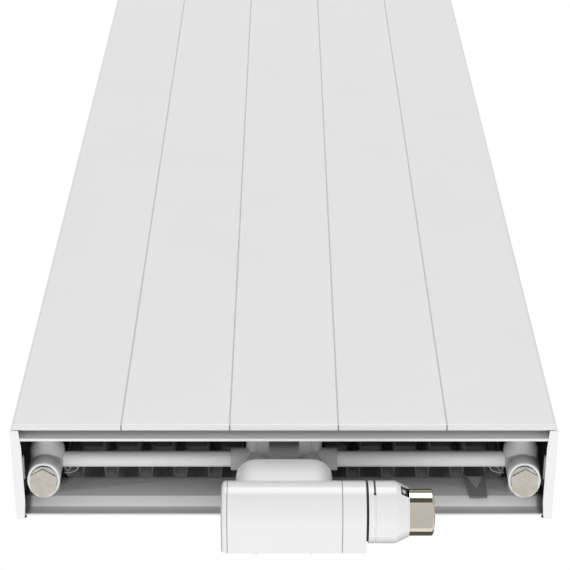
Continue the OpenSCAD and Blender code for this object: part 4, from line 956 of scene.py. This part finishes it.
# %% Recipe
class Recipe:
    """A Geometry Nodes tree with named inputs."""

    def __init__(self, name):
        self.name = name
        self.tree = bpy.data.node_groups.new(name, "GeometryNodeTree")
        self.graph = Graph(self.tree)
        self.entry = self.tree.nodes.new("NodeGroupInput")
        self.inputs = {}
        self.tree.interface.new_socket("Geometry", in_out="OUTPUT",
                                       socket_type="NodeSocketGeometry")

    def value(self, name, amount, kind="NodeSocketFloat"):
        """A named input and the value it gets."""
        socket = self.tree.interface.new_socket(name, in_out="INPUT", socket_type=kind)
        self.inputs[socket.identifier] = amount
        return Wire(self.graph, self.entry.outputs[name])

    def add(self, kind, sockets, settings=None, out=0):
        """Adds a node: its input values or wires first, then its settings."""
        return self.graph.add(kind, settings or {}, sockets, out)

    def upwards(self, amount):
        """A vector that points up."""
        return self.add("ShaderNodeCombineXYZ", {"Z": amount})

    def grow(self, shape, material, body, slot):
        """Ends the tree, evaluates it and bakes it into one plain mesh that rides a body."""
        whole = self.add("GeometryNodeRealizeInstances", {"Geometry": shape})
        dressed = self.add("GeometryNodeSetMaterial", {"Geometry": whole, "Material": material})
        leave = self.tree.nodes.new("NodeGroupOutput")
        self.tree.links.new(dressed.socket, leave.inputs[0])
        holder = bpy.data.objects.new(self.name, bpy.data.meshes.new(self.name))
        bpy.context.scene.collection.objects.link(holder)
        modifier = holder.modifiers.new("recipe", "NODES")
        modifier.node_group = self.tree
        for identifier, amount in self.inputs.items():
            modifier[identifier] = amount
        mesh = bake(holder)
        mesh.shade_smooth()
        mesh.set_sharp_from_angle(angle=math.radians(CREASE_DEG))
        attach(holder, body)
        print(self.name, len(mesh.polygons), "faces")


print("recipes ready")

# %% Spot welds on the back
BACK_Y = -0.02935
WELD_HEIGHT = 0.00035
QUARTER_TURN = math.radians(90.0)

welds = Recipe("back_spot_welds")
across = welds.value("Valleys", 14, "NodeSocketInt")
along = welds.value("Welds in a valley", 42, "NodeSocketInt")
pitch = welds.value("Valley pitch", 0.0333333)
step = welds.value("Weld pitch", 0.040)
radius = welds.value("Weld radius", 0.003)
grid = welds.add("GeometryNodeMeshGrid", {
    "Size X": (across - 1) * pitch, "Size Y": (along - 1) * step,
    "Vertices X": across, "Vertices Y": along})
on_back = welds.add("GeometryNodeTransform", {
    "Geometry": grid, "Rotation": (QUARTER_TURN, 0.0, 0.0), "Translation": (0.0, BACK_Y, 0.0)})
dimple = welds.add("GeometryNodeMeshCone", {
    "Vertices": 10, "Radius Top": radius * 0.62, "Radius Bottom": radius,
    "Depth": WELD_HEIGHT})
# Inputs 2 and 3 are the lowest and highest size of a weld.
spread = welds.add("FunctionNodeRandomValue", {2: 0.85, 3: 1.12, "Seed": 4},
                   {"data_type": "FLOAT"}, 1)
spots = welds.add("GeometryNodeInstanceOnPoints", {
    "Points": on_back, "Instance": dimple, "Scale": spread,
    "Rotation": (-QUARTER_TURN, 0.0, 0.0)})
welds.grow(spots, COAT_BACK, "root", "powder_white")

# %% Rings on the lower plugs
RING_POINTS, WIRE_POINTS = 48, 6
TEE_X = PLUG_X / 1000.0


def plug_rings(name, material, slot, count, lowest, pitch, ring_radius, half_width):
    """Rings stacked round each lower plug: thread crests, or the seal's lip."""
    rings = Recipe(name)
    turns = rings.value("Rings", count, "NodeSocketInt")
    rise = rings.value("Ring pitch", pitch)
    ring_r = rings.value("Ring radius", ring_radius)
    wire_r = rings.value("Ring half width", half_width)
    circle, by_radius = "GeometryNodeCurvePrimitiveCircle", {"mode": "RADIUS"}
    line, by_offset = "GeometryNodeMeshLine", {"mode": "OFFSET"}
    copies = "GeometryNodeInstanceOnPoints"
    track = rings.add(circle, {"Resolution": RING_POINTS, "Radius": ring_r}, by_radius)
    wire = rings.add(circle, {"Resolution": WIRE_POINTS, "Radius": wire_r}, by_radius)
    ring = rings.add("GeometryNodeCurveToMesh", {"Curve": track, "Profile Curve": wire})
    levels = rings.add(line, {"Count": turns, "Start Location": (0.0, 0.0, lowest),
                              "Offset": rings.upwards(rise)}, by_offset)
    stack = rings.add(copies, {"Points": levels, "Instance": ring})
    pair = rings.add(line, {"Count": 2, "Start Location": (-TEE_X, VALVE_Y, 0.0),
                            "Offset": (2.0 * TEE_X, 0.0, 0.0)}, by_offset)
    both = rings.add(copies, {"Points": pair, "Instance": stack})
    rings.grow(both, material, "root", slot)


# The thread crests take the pale coat of the side panels instead of nickel: painted light for the
# pale sheen on the threads.
plug_rings("plug_thread_crests", COAT_SIDE, "powder_white", count=4, lowest=-0.9056,
           pitch=0.0014, ring_radius=0.0119, half_width=0.0005)
plug_rings("plug_seal_lips", RUBBER, "rubber", count=1, lowest=-0.9004,
           pitch=0.0, ring_radius=0.0127, half_width=0.00045)

# %% [markdown]
# ## Closing measures
#
# The upper corner of the dressed model's box is compared with that of the imported model,
# and the difference is printed. It should be a fraction of a millimetre, because dressing
# changes no size.

# %% Measures
dressed_box = [list(corner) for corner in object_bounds()]
print("box grew by", [round((b - a) * 1000, 2) for a, b in zip(cad_box[1], dressed_box[1])], "mm")
